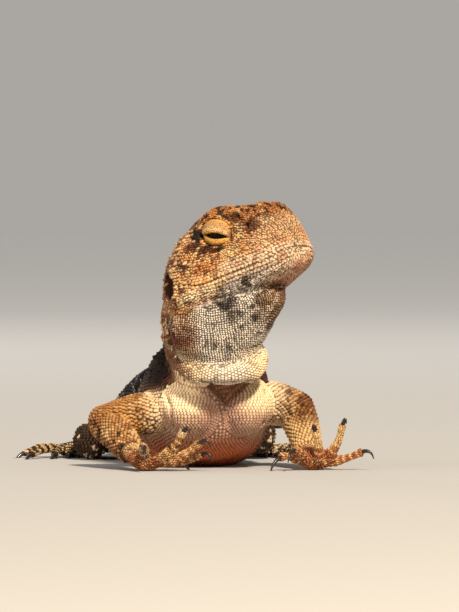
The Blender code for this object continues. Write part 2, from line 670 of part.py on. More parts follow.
def build():
    for obj in list(bpy.data.objects):
        bpy.data.objects.remove(obj)

    whole = rings_to_mesh("whole", body_surface(BODY_STEPS, BODY_SIDES))
    pieces = [
        rings_to_mesh("skull", head_surface(HEAD_STEPS, HEAD_SIDES)),
        rings_to_mesh("pouch", throat_surface(12, THROAT_SIDES)),
        tail(),
    ]
    fold = smooth_rows(COLLAR, 20)
    pieces.append(tube("fold", fold[:, :3], fold[:, 3], 12))
    pieces += [ball("pectoral", place, radius) for place, radius in PECTORALS]
    for side in (1, -1):
        lid = from_head((EYE_PLACE[0], side * EYE_PLACE[1], EYE_PLACE[2]))
        pieces.append(ball("lids", lid, LID_RADIUS, sides=20))
    pieces += arm("right") + arm("left") + leg("right") + leg("left") + crest()
    whole = combine(whole, pieces, "UNION")

    corners = np.array(((-70, -60), (70, -60), (70, 260), (-70, 260)), dtype=float)
    floor = rings_to_mesh(
        "floor", np.array([np.column_stack([corners, np.full(4, level)]) for level in (-12.0, 0.0)])
    )
    whole = combine(whole, head_cutters() + [floor], "DIFFERENCE")
    whole = combine(whole, head_cuts() + body_cuts(), "DIFFERENCE")

    parts = loose_parts(whole)
    bpy.data.objects.remove(whole)
    finishes = {name: material(name, colour, 0.6) for name, colour in COLOURS.items()}
    finishes["eye"].node_tree.nodes["Principled BSDF"].inputs["Roughness"].default_value = 0.1
    nodes = []
    for name, (anchor, finish) in node_anchors().items():
        spot = np.asarray(anchor) * MM
        large = [part for part in parts if len(part[1]) > 60]
        nearest = min(large, key=lambda part: np.linalg.norm(part[0] - spot, axis=1).min())
        parts = [part for part in parts if part is not nearest]
        nodes.append(add_node(name, *nearest, finishes[finish]))
    for name, side in (("eye_right", 1), ("eye_left", -1)):
        place = from_head((EYE_PLACE[0], side * EYE_PLACE[1], EYE_PLACE[2]))
        eye = ball(name, place, EYE_RADIUS, sides=18)
        eye.data.materials.append(finishes["eye"])
        eye.data.shade_smooth()
        nodes.append(eye)

    corners = np.array([vertex.co for node in nodes for vertex in node.data.vertices])
    middle = (corners.min(axis=0) + corners.max(axis=0)) / 2
    shift = Vector((-middle[0], -middle[1], -corners[:, 2].min()))
    for node in nodes:
        node.data.transform(node.matrix_world.Translation(shift))


build()
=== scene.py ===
# %% [markdown]
# # Slater's ring-tailed dragon
# A small dragon lizard of northern Australia, chest raised and head lifted, its eyes nearly shut.
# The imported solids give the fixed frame: where the head, the limbs and the tail are, and how big.
# It could be sculpted by hand over them, but strokes can't be read or changed like a size, so this
# lesson makes all of it from formulas: one skin covers every flesh solid, thousands of small scales
# lie on it in rows, and the lids, eyes and claws are pieces of their own.

# %% Frame
import math

import bpy
import numpy as np
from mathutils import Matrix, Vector
from mathutils.bvhtree import BVHTree

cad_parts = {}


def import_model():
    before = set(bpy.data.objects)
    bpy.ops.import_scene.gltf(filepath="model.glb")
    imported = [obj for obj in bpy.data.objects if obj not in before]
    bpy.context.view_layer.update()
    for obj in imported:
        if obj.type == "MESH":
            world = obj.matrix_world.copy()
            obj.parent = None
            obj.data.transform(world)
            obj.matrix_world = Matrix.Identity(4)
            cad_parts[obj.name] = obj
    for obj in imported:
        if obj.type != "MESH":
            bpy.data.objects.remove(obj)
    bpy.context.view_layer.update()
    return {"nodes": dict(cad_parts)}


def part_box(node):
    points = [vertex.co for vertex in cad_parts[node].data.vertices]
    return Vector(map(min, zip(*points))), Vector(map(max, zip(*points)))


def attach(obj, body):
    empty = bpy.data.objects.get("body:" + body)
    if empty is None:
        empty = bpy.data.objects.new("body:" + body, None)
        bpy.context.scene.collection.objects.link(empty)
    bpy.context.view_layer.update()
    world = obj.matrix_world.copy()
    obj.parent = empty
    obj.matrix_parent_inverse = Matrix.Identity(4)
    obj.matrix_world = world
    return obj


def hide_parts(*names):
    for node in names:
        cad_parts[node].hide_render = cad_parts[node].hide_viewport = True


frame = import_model()

# %% [markdown]
# ## Sizes
# Lengths are millimetres and MM turns them into metres. X is to the right of someone facing the
# chest, Y runs back to the tail and Z is up. The skin could be fitted to the solids' meshes, but a
# few plain numbers can be understood and changed, so the sizes here are the solids' own and the
# skin lies where they lie. The head has axes of its own, because it is lifted and turned to the
# left.

# %% Sizes
MM = 0.001
SNOUT_TO_EAR = 22.3
HEAD_YAW, HEAD_PITCH, HEAD_ROLL = (math.radians(angle) for angle in (48.0, 20.0, 3.0))
EARS_MIDDLE = np.array((-2.9, -2.0, 32.6))
HEAD_LEAN = 0.15
LIP_HEIGHT = -2.0
EYE_PLACE = np.array((10.5, 4.9, 5.8))
EYE_RADIUS = 2.5
LID_RADIUS = 3.1
EAR_PLACE = (-1.5, 0.6)
EAR_HALF = (2.1, 3.0)
EAR_TILT = math.radians(24.0)
NOSTRIL_PLACE = np.array((17.5, 6.6, 5.2))
CLAW_LENGTH = 3.0
FLOOR_DIP = 0.35
COAT_DEPTH = 0.14
VOXEL = 0.34
UPPER_ARM, FOREARM, THIGH, SHANK = 3.4, 2.8, 3.7, 2.9
ELBOW, KNEE, FINGER, TOE = 3.16, 2.81, 0.95, 0.85
PALM_WIDTHS = (2.0, 2.3, 2.7, 2.9, 2.6, 1.7)
SOLE_WIDTHS = (1.9, 2.1, 2.4, 2.6, 2.3, 1.5)
TAIL_ROOT, TAIL_TIP = 4.3, 0.42
TAIL_RINGS = 13

HEAD_STATIONS = (
    # forward, half width, top, bottom, height of the widest line, squareness above and below
    (-7.8, 4.0, 3.0, -5.4, -2.0, 2.0, 2.0), (-4.6, 7.3, 6.4, -6.6, -1.8, 2.2, 2.1),
    (-0.5, 9.8, 8.9, -6.6, -1.3, 2.4, 2.2), (3.6, 10.0, 10.0, -6.4, -1.3, 2.8, 2.4),
    (7.2, 9.5, 10.5, -6.2, -1.3, 3.6, 2.6), (10.6, 8.9, 10.4, -6.0, -1.3, 4.4, 2.7),
    (13.6, 8.1, 10.2, -5.7, -1.3, 4.2, 2.5), (16.6, 7.2, 9.8, -5.3, -1.3, 3.5, 2.4),
    (18.8, 6.4, 8.7, -4.9, -1.2, 3.1, 2.3), (20.5, 5.3, 6.9, -4.4, -1.1, 2.7, 2.2),
    (21.6, 3.7, 4.3, -3.6, -0.9, 2.3, 2.0), (SNOUT_TO_EAR, 0.0, -0.4, -0.4, -0.4, 2.0, 2.0),
)
HEAD_FORMS = (
    # place forward, out and up; reach forward, out and up; how far it stands out
    ((12.4, 6.2, 10.2), (3.7, 2.0, 2.1), 1.7), ((7.0, 7.2, 8.8), (1.9, 1.6, 1.5), 0.4),
    ((10.5, 8.6, 4.9), (3.4, 3.0, 2.5), -1.3), ((15.2, 7.4, 3.6), (2.0, 3.0, 1.7), -0.5),
    ((17.2, 5.4, 7.6), (2.4, 1.5, 1.4), 0.6), ((17.6, 6.0, 4.9), (1.7, 1.6, 1.4), 0.35),
    ((3.6, 8.6, 4.4), (3.0, 3.0, 2.4), 0.5), ((0.6, 10.0, -3.2), (4.0, 3.5, 2.6), 0.9),
    ((14.0, 1.6, 10.0), (3.4, 2.2, 2.2), -2.2), ((3.0, 0.0, 10.0), (2.6, 3.0, 2.0), 0.3),
)
BODY_STATIONS = (
    # x, y, z, half width, height above, depth below
    (-4.8, -0.4, 32.5, 5.6, 4.4, 6.0), (-3.9, 0.6, 28.6, 7.5, 5.8, 8.6),
    (-3.0, 1.8, 24.0, 7.9, 6.4, 9.4), (-2.1, 3.6, 19.6, 8.4, 6.4, 10.2),
    (-2.8, 7.0, 16.2, 10.5, 7.0, 13.2), (-3.8, 13.0, 12.8, 11.2, 7.4, 12.8),
    (-4.0, 22.0, 10.8, 12.5, 7.2, 11.2), (-8.0, 33.0, 8.6, 11.4, 6.9, 8.9),
    (-11.0, 44.0, 6.9, 9.9, 5.6, 7.25), (-13.2, 54.5, 6.0, 6.7, 5.2, 6.35),
    (-14.9, 62.0, 4.8, 4.9, 4.3, 5.15), (-16.4, 68.0, 4.2, 3.6, 3.2, 3.6),
)
THROAT_STATIONS = (
    # x, y, z of the middle, then reach forward, back and out
    (-1.6, -3.2, 32.0, 15.2, 4.8, 6.8), (-1.6, -3.0, 29.2, 13.9, 6.0, 9.1),
    (-2.1, -3.0, 25.2, 11.3, 6.2, 9.0), (-2.2, -3.4, 21.8, 8.8, 5.0, 8.4),
    (-2.0, -3.8, 19.2, 6.9, 3.6, 6.4), (-1.8, -3.0, 17.4, 4.8, 2.4, 4.0),
)
COLLAR = (
    # x, y, z, radius of the loose fold of skin round the front of the neck
    (-9.0, 0.4, 20.8, 1.0), (-7.9, -3.4, 19.4, 1.5), (-5.4, -7.0, 17.6, 2.1),
    (-1.6, -8.9, 16.7, 2.5), (2.2, -8.5, 16.9, 2.4), (4.8, -6.2, 18.0, 2.2),
    (5.8, -2.4, 20.0, 1.8), (5.2, 1.6, 21.8, 1.2),
)
ARMS = {
    # shoulder, elbow, wrist, middle of the palm
    "right": ((-6.8, 3.4, 10.4), (-21.0, 7.4, 8.0), (-16.4, -4.2, 3.1), (-13.6, -8.0, 1.9)),
    "left": ((4.6, 3.2, 11.7), (12.7, 10.6, 10.2), (14.6, -0.2, 3.5), (15.8, -3.6, 1.7)),
}
PECTORALS = (((-5.6, 0.5, 10.8), 5.2), ((3.4, 0.9, 11.0), 5.0))
FINGERS = {
    "right": (
        ((-11.6, -5.2, 2.0), (-9.4, -3.6, 2.3), (-7.8, -3.0, 1.6)),
        ((-10.4, -7.6, 1.5), (-5.8, -7.6, 2.1), (-4.0, -8.2, 2.9)),
        ((-9.8, -8.8, 1.6), (-6.6, -10.0, 3.2), (-4.2, -10.8, 5.1)),
        ((-11.4, -9.2, 2.2), (-8.7, -10.8, 4.4), (-7.1, -12.4, 7.2)),
        ((-13.8, -9.4, 2.2), (-14.2, -12.4, 4.4), (-14.1, -14.2, 4.4)),
    ),
    "left": (
        ((13.4, -4.4, 1.7), (11.2, -5.6, 2.6), (9.6, -6.8, 2.2)),
        ((14.0, -5.0, 2.0), (12.8, -7.4, 3.4), (12.0, -9.0, 3.6)),
        ((16.2, -5.2, 1.9), (16.4, -7.2, 4.6), (15.8, -7.8, 7.2)),
        ((17.6, -3.8, 2.2), (19.6, -4.6, 4.6), (20.7, -5.4, 8.2)),
        ((18.0, -2.8, 1.4), (21.2, -3.2, 2.0), (24.1, -4.0, 3.2)),
    ),
}
LEGS = {
    # hip, knee, ankle, middle of the sole, heading of the foot in degrees from the camera
    "right": ((-16.4, 53.4, 5.3), (-24.4, 41.0, 3.5), (-23.9, 58.6, 2.7), (-27.8, 57.4, 1.3), 16.0),
    "left": ((-10.0, 52.6, 5.6), (6.2, 43.6, 4.6), (1.4, 59.6, 2.7), (6.4, 57.8, 1.3), -30.0),
}
TOE_LENGTHS = (3.5, 6.0, 9.0, 12.0, 7.5)
TOE_SPREAD = (24.0, 12.0, 0.0, -14.0, -42.0)
TAIL_BENDS = (
    (-14.6, 58.0), (-16.2, 66.0), (-20.0, 84.0), (-22.6, 108.0),
    (-20.0, 136.0), (-10.5, 164.0), (2.0, 190.0), (17.5, 212.0),
)
print("head", SNOUT_TO_EAR, "mm from snout to ear")

# %% [markdown]
# ## Curves and rings
# A living body is a set of tubes whose sections change along a curve. They could be sculpted, or
# grown from metaballs. Here every form is rings of points, where rings[s, t] is the point at share
# s of the path and share t of the turn, because the same arrays make the skin and tell each scale
# where it grows and which way it lies.

# %% Curve helpers
def smooth_rows(rows, count):
    """A Catmull-Rom curve through the rows.

    p(t) = (2 p1 + (p2 - p0) t + (2 p0 - 5 p1 + 4 p2 - p3) t2 + (3 p1 - p0 - 3 p2 + p3) t3) / 2.
    """
    rows = np.array(rows, dtype=float)
    ends = np.vstack([2 * rows[0] - rows[1], rows, 2 * rows[-1] - rows[-2]])
    place = np.linspace(0, len(rows) - 1, count)
    first = np.minimum(place.astype(int), len(rows) - 2)
    t = (place - first)[:, None]
    p0, p1, p2, p3 = (ends[first + k] for k in range(4))
    return 0.5 * (
        2 * p1 + (p2 - p0) * t + (2 * p0 - 5 * p1 + 4 * p2 - p3) * t**2
        + (3 * p1 - p0 - 3 * p2 + p3) * t**3
    )


def unit(vectors):
    """Vectors brought to length one."""
    return vectors / np.maximum(np.linalg.norm(vectors, axis=-1, keepdims=True), 1e-9)


def step(low, high, value):
    """Smooth step: s = clip((value - low) / (high - low)), s2 (3 - 2 s)."""
    s = np.clip((value - low) / (high - low), 0, 1)
    return s * s * (3 - 2 * s)


def lengths_along(points):
    """Running length of a line: the sum of |p(k + 1) - p(k)| up to each point."""
    return np.concatenate([[0], np.cumsum(np.linalg.norm(np.diff(points, axis=0), axis=1))])


def read_at(marks, lengths, columns):
    """Each column read at the marks, by straight lines between its lengths."""
    return np.column_stack([np.interp(marks, lengths, column) for column in columns])


def head_axes():
    """Unit vectors forward, out to the animal's right, and up, for the lifted and turned head."""
    sin_y, cos_y = math.sin(HEAD_YAW), math.cos(HEAD_YAW)
    sin_p, cos_p = math.sin(HEAD_PITCH), math.cos(HEAD_PITCH)
    forward = np.array((sin_y * cos_p, -cos_y * cos_p, sin_p))
    level_out = np.array((-cos_y, -sin_y, 0.0))
    level_up = np.cross(level_out, forward)
    out = level_out * math.cos(HEAD_ROLL) - level_up * math.sin(HEAD_ROLL)
    return np.array((forward, out, level_up * math.cos(HEAD_ROLL) + level_out * math.sin(HEAD_ROLL)))


HEAD_AXES = head_axes()


def from_head(places):
    """Points of the frame from places forward, out and up of the middle between the ears."""
    return EARS_MIDDLE + np.asarray(places, dtype=float) @ HEAD_AXES


def to_head(points):
    """The way back: places on the head's own axes from points of the frame."""
    return (points - EARS_MIDDLE) @ HEAD_AXES.T


def path_frames(path, up_hint):
    """Tangent, side = tangent x hint, up = side x tangent, all of length one."""
    tangent = unit(np.gradient(path, axis=0))
    side = unit(np.cross(tangent, np.asarray(up_hint, dtype=float)))
    return tangent, side, np.cross(side, tangent)


print("the head points along", np.round(HEAD_AXES[0], 2).tolist())

# %% Ring surfaces
def tube_rings(path, radii, sides, up_hint=(0, 0, 1), flat=1.0):
    """p(s, t) = path(s) + r(s) (cos 2 pi t side + flat sin 2 pi t up)."""
    _, side, up = path_frames(path, up_hint)
    turn = np.linspace(0, 2 * np.pi, sides, endpoint=False)
    radii = np.broadcast_to(radii, len(path))[:, None, None]
    return path[:, None] + radii * (
        np.cos(turn)[None, :, None] * side[:, None] + flat * np.sin(turn)[None, :, None] * up[:, None]
    )


def body_rings(steps=150, sides=144):
    """p(s, t) = spine + width |sin|^0.85 side + height |cos|^0.9 up, deeper below than above."""
    rows = smooth_rows(BODY_STATIONS, steps)
    path, width, above, below = rows[:, :3], rows[:, 3], rows[:, 4], rows[:, 5]
    _, side, up = path_frames(path, (0.0, 1.0, 1.0))
    turn = np.linspace(0, 2 * np.pi, sides, endpoint=False)
    sin, cos = np.sin(turn), np.cos(turn)
    height = np.where(cos[None] > 0, above[:, None], below[:, None]) * np.sign(cos) * np.abs(cos) ** 0.9
    reach = width[:, None] * np.sign(sin) * np.abs(sin) ** 0.85
    return path[:, None] + reach[..., None] * side[:, None] + height[..., None] * up[:, None]


def head_places(steps=140, sides=160):
    """Sections |out/w|^n + |up/h|^n = 1 along the skull, moved out by a sum of bell-shaped swellings."""
    rows = smooth_rows(HEAD_STATIONS, steps)
    ahead, width, top, bottom, level, square, low_square = rows.T
    width = np.maximum(width, 0.0)
    turn = np.linspace(0, 2 * np.pi, sides, endpoint=False)
    sin, cos = np.sin(turn), np.cos(turn)
    power = 2 / np.where(cos[None] > 0, square[:, None], low_square[:, None])
    rise = np.sign(cos) * np.abs(cos) ** power
    out = width[:, None] * np.sign(sin) * np.abs(sin) ** power * (1 - HEAD_LEAN * rise.clip(0))
    height = np.where(cos[None] > 0, (top - level)[:, None], (level - bottom)[:, None])
    up = level[:, None] + height * rise
    forward = np.repeat(ahead[:, None], sides, axis=1)
    swell = 0.3 * np.exp(-(((up - LIP_HEIGHT) / 1.3) ** 2))
    for place, reach, amount in HEAD_FORMS:
        far = ((forward - place[0]) / reach[0]) ** 2 + ((up - place[2]) / reach[2]) ** 2
        far = far + ((np.abs(out) - place[1]) / reach[1]) ** 2
        swell = swell + amount * np.exp(-far)
    middle = ((top + bottom) / 2)[:, None]
    grow = 1 + swell * np.minimum(1, width / 3.0)[:, None] / (np.hypot(out, up - middle) + 1e-6)
    return np.stack([forward, out * grow, middle + (up - middle) * grow], axis=-1)


def throat_rings(steps=70, sides=144):
    """p(s, t) = middle + reach cos 2 pi t ahead + out sin 2 pi t outward, on level rings."""
    rows = smooth_rows(THROAT_STATIONS, steps)
    turn = np.linspace(0, 2 * np.pi, sides, endpoint=False)
    sin, cos = np.sin(turn), np.cos(turn)
    ahead = np.array((math.sin(HEAD_YAW), -math.cos(HEAD_YAW), 0.0))
    outward = np.array((-math.cos(HEAD_YAW), -math.sin(HEAD_YAW), 0.0))
    reach = np.where(cos[None] > 0, rows[:, 3:4], rows[:, 4:5]) * cos
    return rows[:, None, :3] + reach[..., None] * ahead + (rows[:, 5:6] * sin)[..., None] * outward


def ball_rings(middle, radius, sides=40):
    """p(s, t) = middle + radius (sin pi s cos 2 pi t, sin pi s sin 2 pi t, cos pi s)."""
    tilt = np.linspace(0.02, np.pi - 0.02, sides // 2 + 1)[:, None]
    turn = np.linspace(0, 2 * np.pi, sides, endpoint=False)
    ring = [np.sin(tilt) * np.cos(turn), np.sin(tilt) * np.sin(turn), np.cos(tilt) + 0 * turn]
    return np.asarray(middle) + radius * np.stack(ring, axis=-1)


forms = {"body": body_rings(), "head": from_head(head_places()), "throat": throat_rings()}
fold = smooth_rows(COLLAR, 60)
forms["collar"] = tube_rings(fold[:, :3], fold[:, 3], 40)
for name, (place, radius) in zip(("pectoral_right", "pectoral_left"), PECTORALS):
    forms[name] = ball_rings(place, radius)
print({name: rings.shape for name, rings in forms.items()})

# %% [markdown]
# ## Limbs, digits and tail
# The dragon has five digits on each limb and a long tail. A Skin modifier over a skeleton of edges
# could make them, but its sections are hard to set. So each limb is an upper and a lower tube with
# a ball at the joint, each finger and toe is a tube that swells at its knuckles, and the tail is
# one long taper that lies on the floor.

# %% Limb forms
DIGIT_TIPS = []


def digit_form(name, root, points, radius):
    """r(s) = radius (1.12 - 0.34 s) (1 + 0.1 cos 4 pi s) along a curve through the knuckle."""
    path = smooth_rows([root, *points], 40)
    along = np.linspace(0, 1, len(path))
    radii = radius * (1.12 - 0.34 * along) * (1 + 0.10 * np.cos(along * 4 * np.pi))
    forms[name] = tube_rings(path, radii, 24)
    coarse = smooth_rows([root, *points], 7)
    DIGIT_TIPS.append((path[-1], unit(coarse[-1] - coarse[-2])))


def bent(first, last, lift):
    """A path of 50 points from joint to joint, lifted half way: (a + b) / 2 + lift."""
    return smooth_rows([first, (first + last) / 2 + lift, last], 50)


def broad(widths):
    """Six half widths drawn out to 24 by straight lines."""
    return np.interp(np.linspace(0, 5, 24), range(6), widths)


along = np.linspace(0, 1, 50)
swell = 0.08 * np.sin(along * np.pi)
for side in ("right", "left"):
    shoulder, elbow, wrist, palm = (np.array(p) for p in ARMS[side])
    upper, lower = bent(shoulder, elbow, (0, 0, 0.4)), bent(elbow, wrist, (0, 0.5, 0.3))
    forms["upper_arm_" + side] = tube_rings(upper, UPPER_ARM * (1.12 - 0.2 * along + swell), 48)
    forms["forearm_" + side] = tube_rings(lower, FOREARM * (1.1 - 0.32 * along**1.5 + swell), 40)
    forms["elbow_" + side] = ball_rings(elbow, ELBOW)
    reach = smooth_rows((wrist, (wrist + palm) / 2, palm, palm + 0.35 * (palm - wrist)), 24)
    forms["palm_" + side] = tube_rings(reach, broad(PALM_WIDTHS), 36, flat=0.72)
    for place, points in enumerate(FINGERS[side]):
        digit_form(f"finger{place}_{side}", palm, [np.array(p) for p in points], FINGER)

    hip, knee, ankle, sole = (np.array(p) for p in LEGS[side][:4])
    upper, lower = bent(hip, knee, (0, 0, 0.5)), bent(knee, ankle, (0, 0, 0.4))
    forms["thigh_" + side] = tube_rings(upper, THIGH * (1.05 - 0.3 * along), 48)
    forms["shank_" + side] = tube_rings(lower, SHANK * (1.15 - 0.45 * along), 40)
    forms["knee_" + side] = ball_rings(knee, KNEE)
    turn = math.radians(LEGS[side][4])
    ahead = np.array((-math.sin(turn), -math.cos(turn), 0.0))
    across = np.array((-math.cos(turn), math.sin(turn), 0.0)) * (1 if side == "left" else -1)
    reach = smooth_rows([ankle, sole, sole + 3.4 * ahead], 24)
    forms["sole_" + side] = tube_rings(reach, broad(SOLE_WIDTHS), 36, flat=0.6)
    for place, (length, spread) in enumerate(zip(TOE_LENGTHS, TOE_SPREAD)):
        way = math.radians(spread)
        aim = ahead * math.cos(way) + across * math.sin(way)
        root = sole + 1.6 * ahead + across * math.sin(way) * 1.2
        knuckle = root + aim * (2.0 + length * 0.45) + (0, 0, 0.5)
        digit_form(f"toe{place}_{side}", root, [knuckle, root + aim * (2.0 + length) - (0, 0, 0.55)], TOE)

spots = smooth_rows(TAIL_BENDS, 320)
lengths = lengths_along(spots)
tail_share = lengths / lengths[-1]
tail_radii = TAIL_ROOT + (TAIL_TIP - TAIL_ROOT) * tail_share**0.72
tail_path = np.column_stack([spots, tail_radii - FLOOR_DIP * (1 - 0.6 * tail_share)])
forms["tail"] = tube_rings(tail_path, tail_radii, 40)
EYE_SIDES = {"right": 1, "left": -1}
EYE_MIDDLES = {name: from_head(EYE_PLACE * (1, side, 1)) for name, side in EYE_SIDES.items()}
for name, middle in EYE_MIDDLES.items():
    forms["lids_" + name] = ball_rings(middle, LID_RADIUS)
print(len(forms), "forms,", len(DIGIT_TIPS), "digits, tail", round(lengths[-1], 1), "mm")

# %% [markdown]
# ## Where the solids lie
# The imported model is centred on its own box, so every point of these sizes moves by one step. The
# step could be typed in, but the right eye tells it without a mistake: its solid's middle against
# its place in these sizes.

# %% Shift to the frame
low, high = (np.array(corner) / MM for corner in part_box("eye_right"))
SHIFT = (low + high) / 2 - from_head(EYE_PLACE)
print("shift in mm:", np.round(SHIFT, 3).tolist())


def make_mesh(name, points, faces):
    """An object at the origin from points in millimetres and an array of faces with equal corners."""
    faces = np.asarray(faces)
    corners = faces.shape[1]
    mesh = bpy.data.meshes.new(name)
    mesh.vertices.add(len(points))
    mesh.vertices.foreach_set("co", ((points + SHIFT) * MM).astype(np.float32).ravel())
    mesh.loops.add(faces.size)
    mesh.loops.foreach_set("vertex_index", faces.astype(np.int32).ravel())
    mesh.polygons.add(len(faces))
    mesh.polygons.foreach_set("loop_start", np.arange(0, faces.size, corners, dtype=np.int32))
    mesh.update(calc_edges=True)
    mesh.validate()
    mesh.shade_smooth()
    obj = bpy.data.objects.new(name, mesh)
    bpy.context.scene.collection.objects.link(obj)
    return obj


def closed_rings(rings):
    """Points and quads of rings whose two ends close on their middles, by rings of no width."""
    middles = np.repeat(rings[[0, -1]].mean(axis=1)[:, None], rings.shape[1], axis=1)
    rings = np.concatenate([middles[:1], rings, middles[1:]])
    count, sides = rings.shape[:2]
    ring = np.arange(count * sides).reshape(count, sides)
    turn = np.roll(ring, -1, axis=1)
    return rings.reshape(-1, 3), np.stack([ring[:-1], turn[:-1], turn[1:], ring[1:]], axis=-1).reshape(-1, 4)


def join_rings(surfaces):
    """One set of points and quads from several ring surfaces."""
    points, faces, start = [], [], 0
    for rings in surfaces:
        more, quads = closed_rings(rings)
        points.append(more)
        faces.append(quads + start)
        start += len(more)
    return np.vstack(points), np.vstack(faces)


# %% [markdown]
# ## One skin
# A real skin has no seams where the leg meets the flank. Booleans could join the forms, but they
# leave a hard edge at each meeting. So the closed forms are laid into one mesh, a voxel Remesh
# makes a single surface of them, and a Smooth blends each meeting. Then every point moves along its
# normal: in by the depth of the coat, deeper in the folds, the ear, the mouth's line, the nostrils
# and the sockets, and up or down by low lumps, as loose skin lies.

# %% Skin base
skin = make_mesh("skin", *join_rings(forms.values()))
remesh = skin.modifiers.new("one surface", "REMESH")
remesh.mode = "VOXEL"
remesh.voxel_size = VOXEL * MM
remesh.use_smooth_shade = True
blend = skin.modifiers.new("soft meetings", "SMOOTH")
blend.factor = 0.5
blend.iterations = 5
graph = bpy.context.evaluated_depsgraph_get()
base = bpy.data.meshes.new_from_object(skin.evaluated_get(graph))
skin.modifiers.clear()
skin.data = base
print("skin:", len(base.vertices), "points,", len(base.polygons), "faces")


# %% Creases
def read_points(mesh):
    """A mesh's points in the millimetres of these sizes."""
    points = np.empty(len(mesh.vertices) * 3, dtype=np.float32)
    mesh.vertices.foreach_get("co", points)
    return points.reshape(-1, 3).astype(float) / MM - SHIFT


def read_normals(mesh):
    """The way outward at each of a mesh's points."""
    normals = np.empty(len(mesh.vertices) * 3, dtype=np.float32)
    mesh.vertex_normals.foreach_get("vector", normals)
    return normals.reshape(-1, 3).astype(float)


NOISE_TURN = np.array(((0.80, -0.36, 0.48), (0.60, 0.48, -0.64), (0.0, 0.80, 0.60)))


def patches(points, size, seed):
    """Value noise: corner values from a sine hash, mixed by smooth steps inside each cell."""
    scaled = points @ NOISE_TURN / size + seed * 17.3
    cell = np.floor(scaled)
    part = scaled - cell
    part = part * part * (3 - 2 * part)
    total = np.zeros(len(points))
    for corner in np.ndindex(2, 2, 2):
        spot = cell + corner
        hashed = np.sin(spot @ np.array((127.1, 311.7, 74.7)) + seed * 13.7) * 43758.5453
        weight = np.prod(np.where(np.array(corner) == 1, part, 1 - part), axis=1)
        total += weight * (hashed - np.floor(hashed))
    return total


HEAD_CREASES = (
    # width, depth (a ridge where it is below 0), then points forward, out and up
    (0.55, 0.45, (
        (0.5, 10.4, -3.3), (5.0, 9.7, -4.6), (9.8, 8.4, -5.0),
        (14.0, 7.2, -4.5), (19.1, 5.8, -3.9), (22.6, 3.6, -3.0),
    )),
    (0.45, 0.30, ((15.6, 7.4, 2.0), (12.4, 8.8, 1.6), (8.8, 9.6, 1.9), (5.2, 10.2, 3.0))),
    (0.45, 0.50, ((13.0, 7.2, 8.6), (14.2, 7.0, 7.0), (14.4, 7.2, 5.0), (13.8, 7.6, 3.2))),
    (0.50, -0.32, ((14.2, 6.6, 8.8), (15.4, 6.6, 7.0), (15.5, 7.0, 5.0), (14.9, 7.5, 3.2), (14.0, 7.9, 1.9))),
    (0.35, 0.30, ((15.8, 6.2, 8.0), (16.5, 6.6, 6.2), (16.3, 7.0, 4.4), (15.8, 7.4, 3.0))),
    (0.40, 0.30, ((5.4, 8.6, 7.4), (4.4, 9.2, 5.6), (4.6, 9.8, 3.6))),
    (0.50, -0.30, ((6.4, 8.4, 7.6), (5.6, 8.9, 5.8), (5.8, 9.4, 4.0))),
    (0.45, 0.45, ((7.4, 8.2, 7.6), (8.6, 8.0, 8.7), (10.8, 7.9, 9.0), (13.2, 7.4, 8.2), (14.2, 7.2, 6.4))),
    (0.60, 0.35, ((4.6, 10.4, -0.7), (2.6, 10.6, -1.4), (0.8, 10.6, -2.4))),
)
BODY_CREASES = (
    # width, depth, then points x, y and z
    (0.7, 0.55, (
        (-10.4, -3.0, 22.4), (-7.6, -8.4, 20.2), (-2.6, -12.0, 19.4), (2.4, -11.6, 20.0), (6.6, -7.0, 21.8)
    )),
    (0.5, 0.30, ((-11.0, -2.0, 26.4), (-8.6, -6.6, 23.4), (-5.6, -10.0, 22.4))),
    (0.8, 0.40, ((-0.3, -7.2, 12.0), (-0.5, -8.6, 9.8), (-0.8, -8.2, 6.4))),
    (0.7, 0.55, (
        (-5.2, -5.6, 14.0), (-2.8, -6.6, 12.6), (-0.3, -7.0, 11.6), (2.2, -6.4, 12.9), (4.6, -5.0, 14.6)
    )),
    (0.7, 0.50, ((-12.0, 0.6, 14.2), (-9.8, -2.2, 11.4), (-9.4, -1.6, 8.0), (-10.4, 0.8, 5.6))),
    (0.7, 0.50, ((7.6, 0.6, 14.6), (6.4, -1.8, 11.6), (6.8, -0.8, 8.2))),
    (0.5, 0.35, ((-20.2, 4.0, 11.6), (-19.4, 3.4, 9.0), (-19.6, 4.2, 6.6))),
    (0.5, 0.35, ((13.2, 7.0, 12.4), (12.4, 6.4, 10.0), (12.8, 6.0, 8.0))),
    (0.6, 0.40, ((-23.4, 4.6, 8.4), (-22.0, 2.6, 6.4), (-18.6, 1.6, 6.6), (-16.2, 1.4, 8.0))),
    (0.6, 0.40, ((-22.0, 2.2, 4.2), (-20.6, 0.2, 4.2), (-17.4, -1.0, 5.4), (-15.2, -0.6, 6.4))),
)


def near_line(points, line, width):
    """exp(-(d / width)^2), where d is the distance from each point to a curve."""
    line = smooth_rows(line, 40)
    near = np.full(len(points), 1e9)
    for spot in line:
        near = np.minimum(near, ((points - spot) ** 2).sum(axis=1))
    return np.exp(-near / width**2)


def ear_share(places):
    """Distance from the middle of the ear in shares of its oval: 1 is its rim."""
    ahead, up = places[:, 0] - EAR_PLACE[0], places[:, 2] - EAR_PLACE[1]
    cos_t, sin_t = math.cos(EAR_TILT), math.sin(EAR_TILT)
    return np.hypot((ahead * cos_t + up * sin_t) / EAR_HALF[0], (up * cos_t - ahead * sin_t) / EAR_HALF[1])


def from_nostril(places):
    """Distance to the nearer nostril."""
    return np.linalg.norm(np.abs(places) - NOSTRIL_PLACE, axis=1)


def lip_line(ahead):
    """Height of the mouth's line: raised at its corner and again round the snout's tip."""
    corner = 0.9 * np.clip((9 - ahead) / 5, 0, 1) ** 2
    return LIP_HEIGHT + corner + 1.3 * np.clip((ahead - 18.5) / 3.8, 0, 1) ** 2


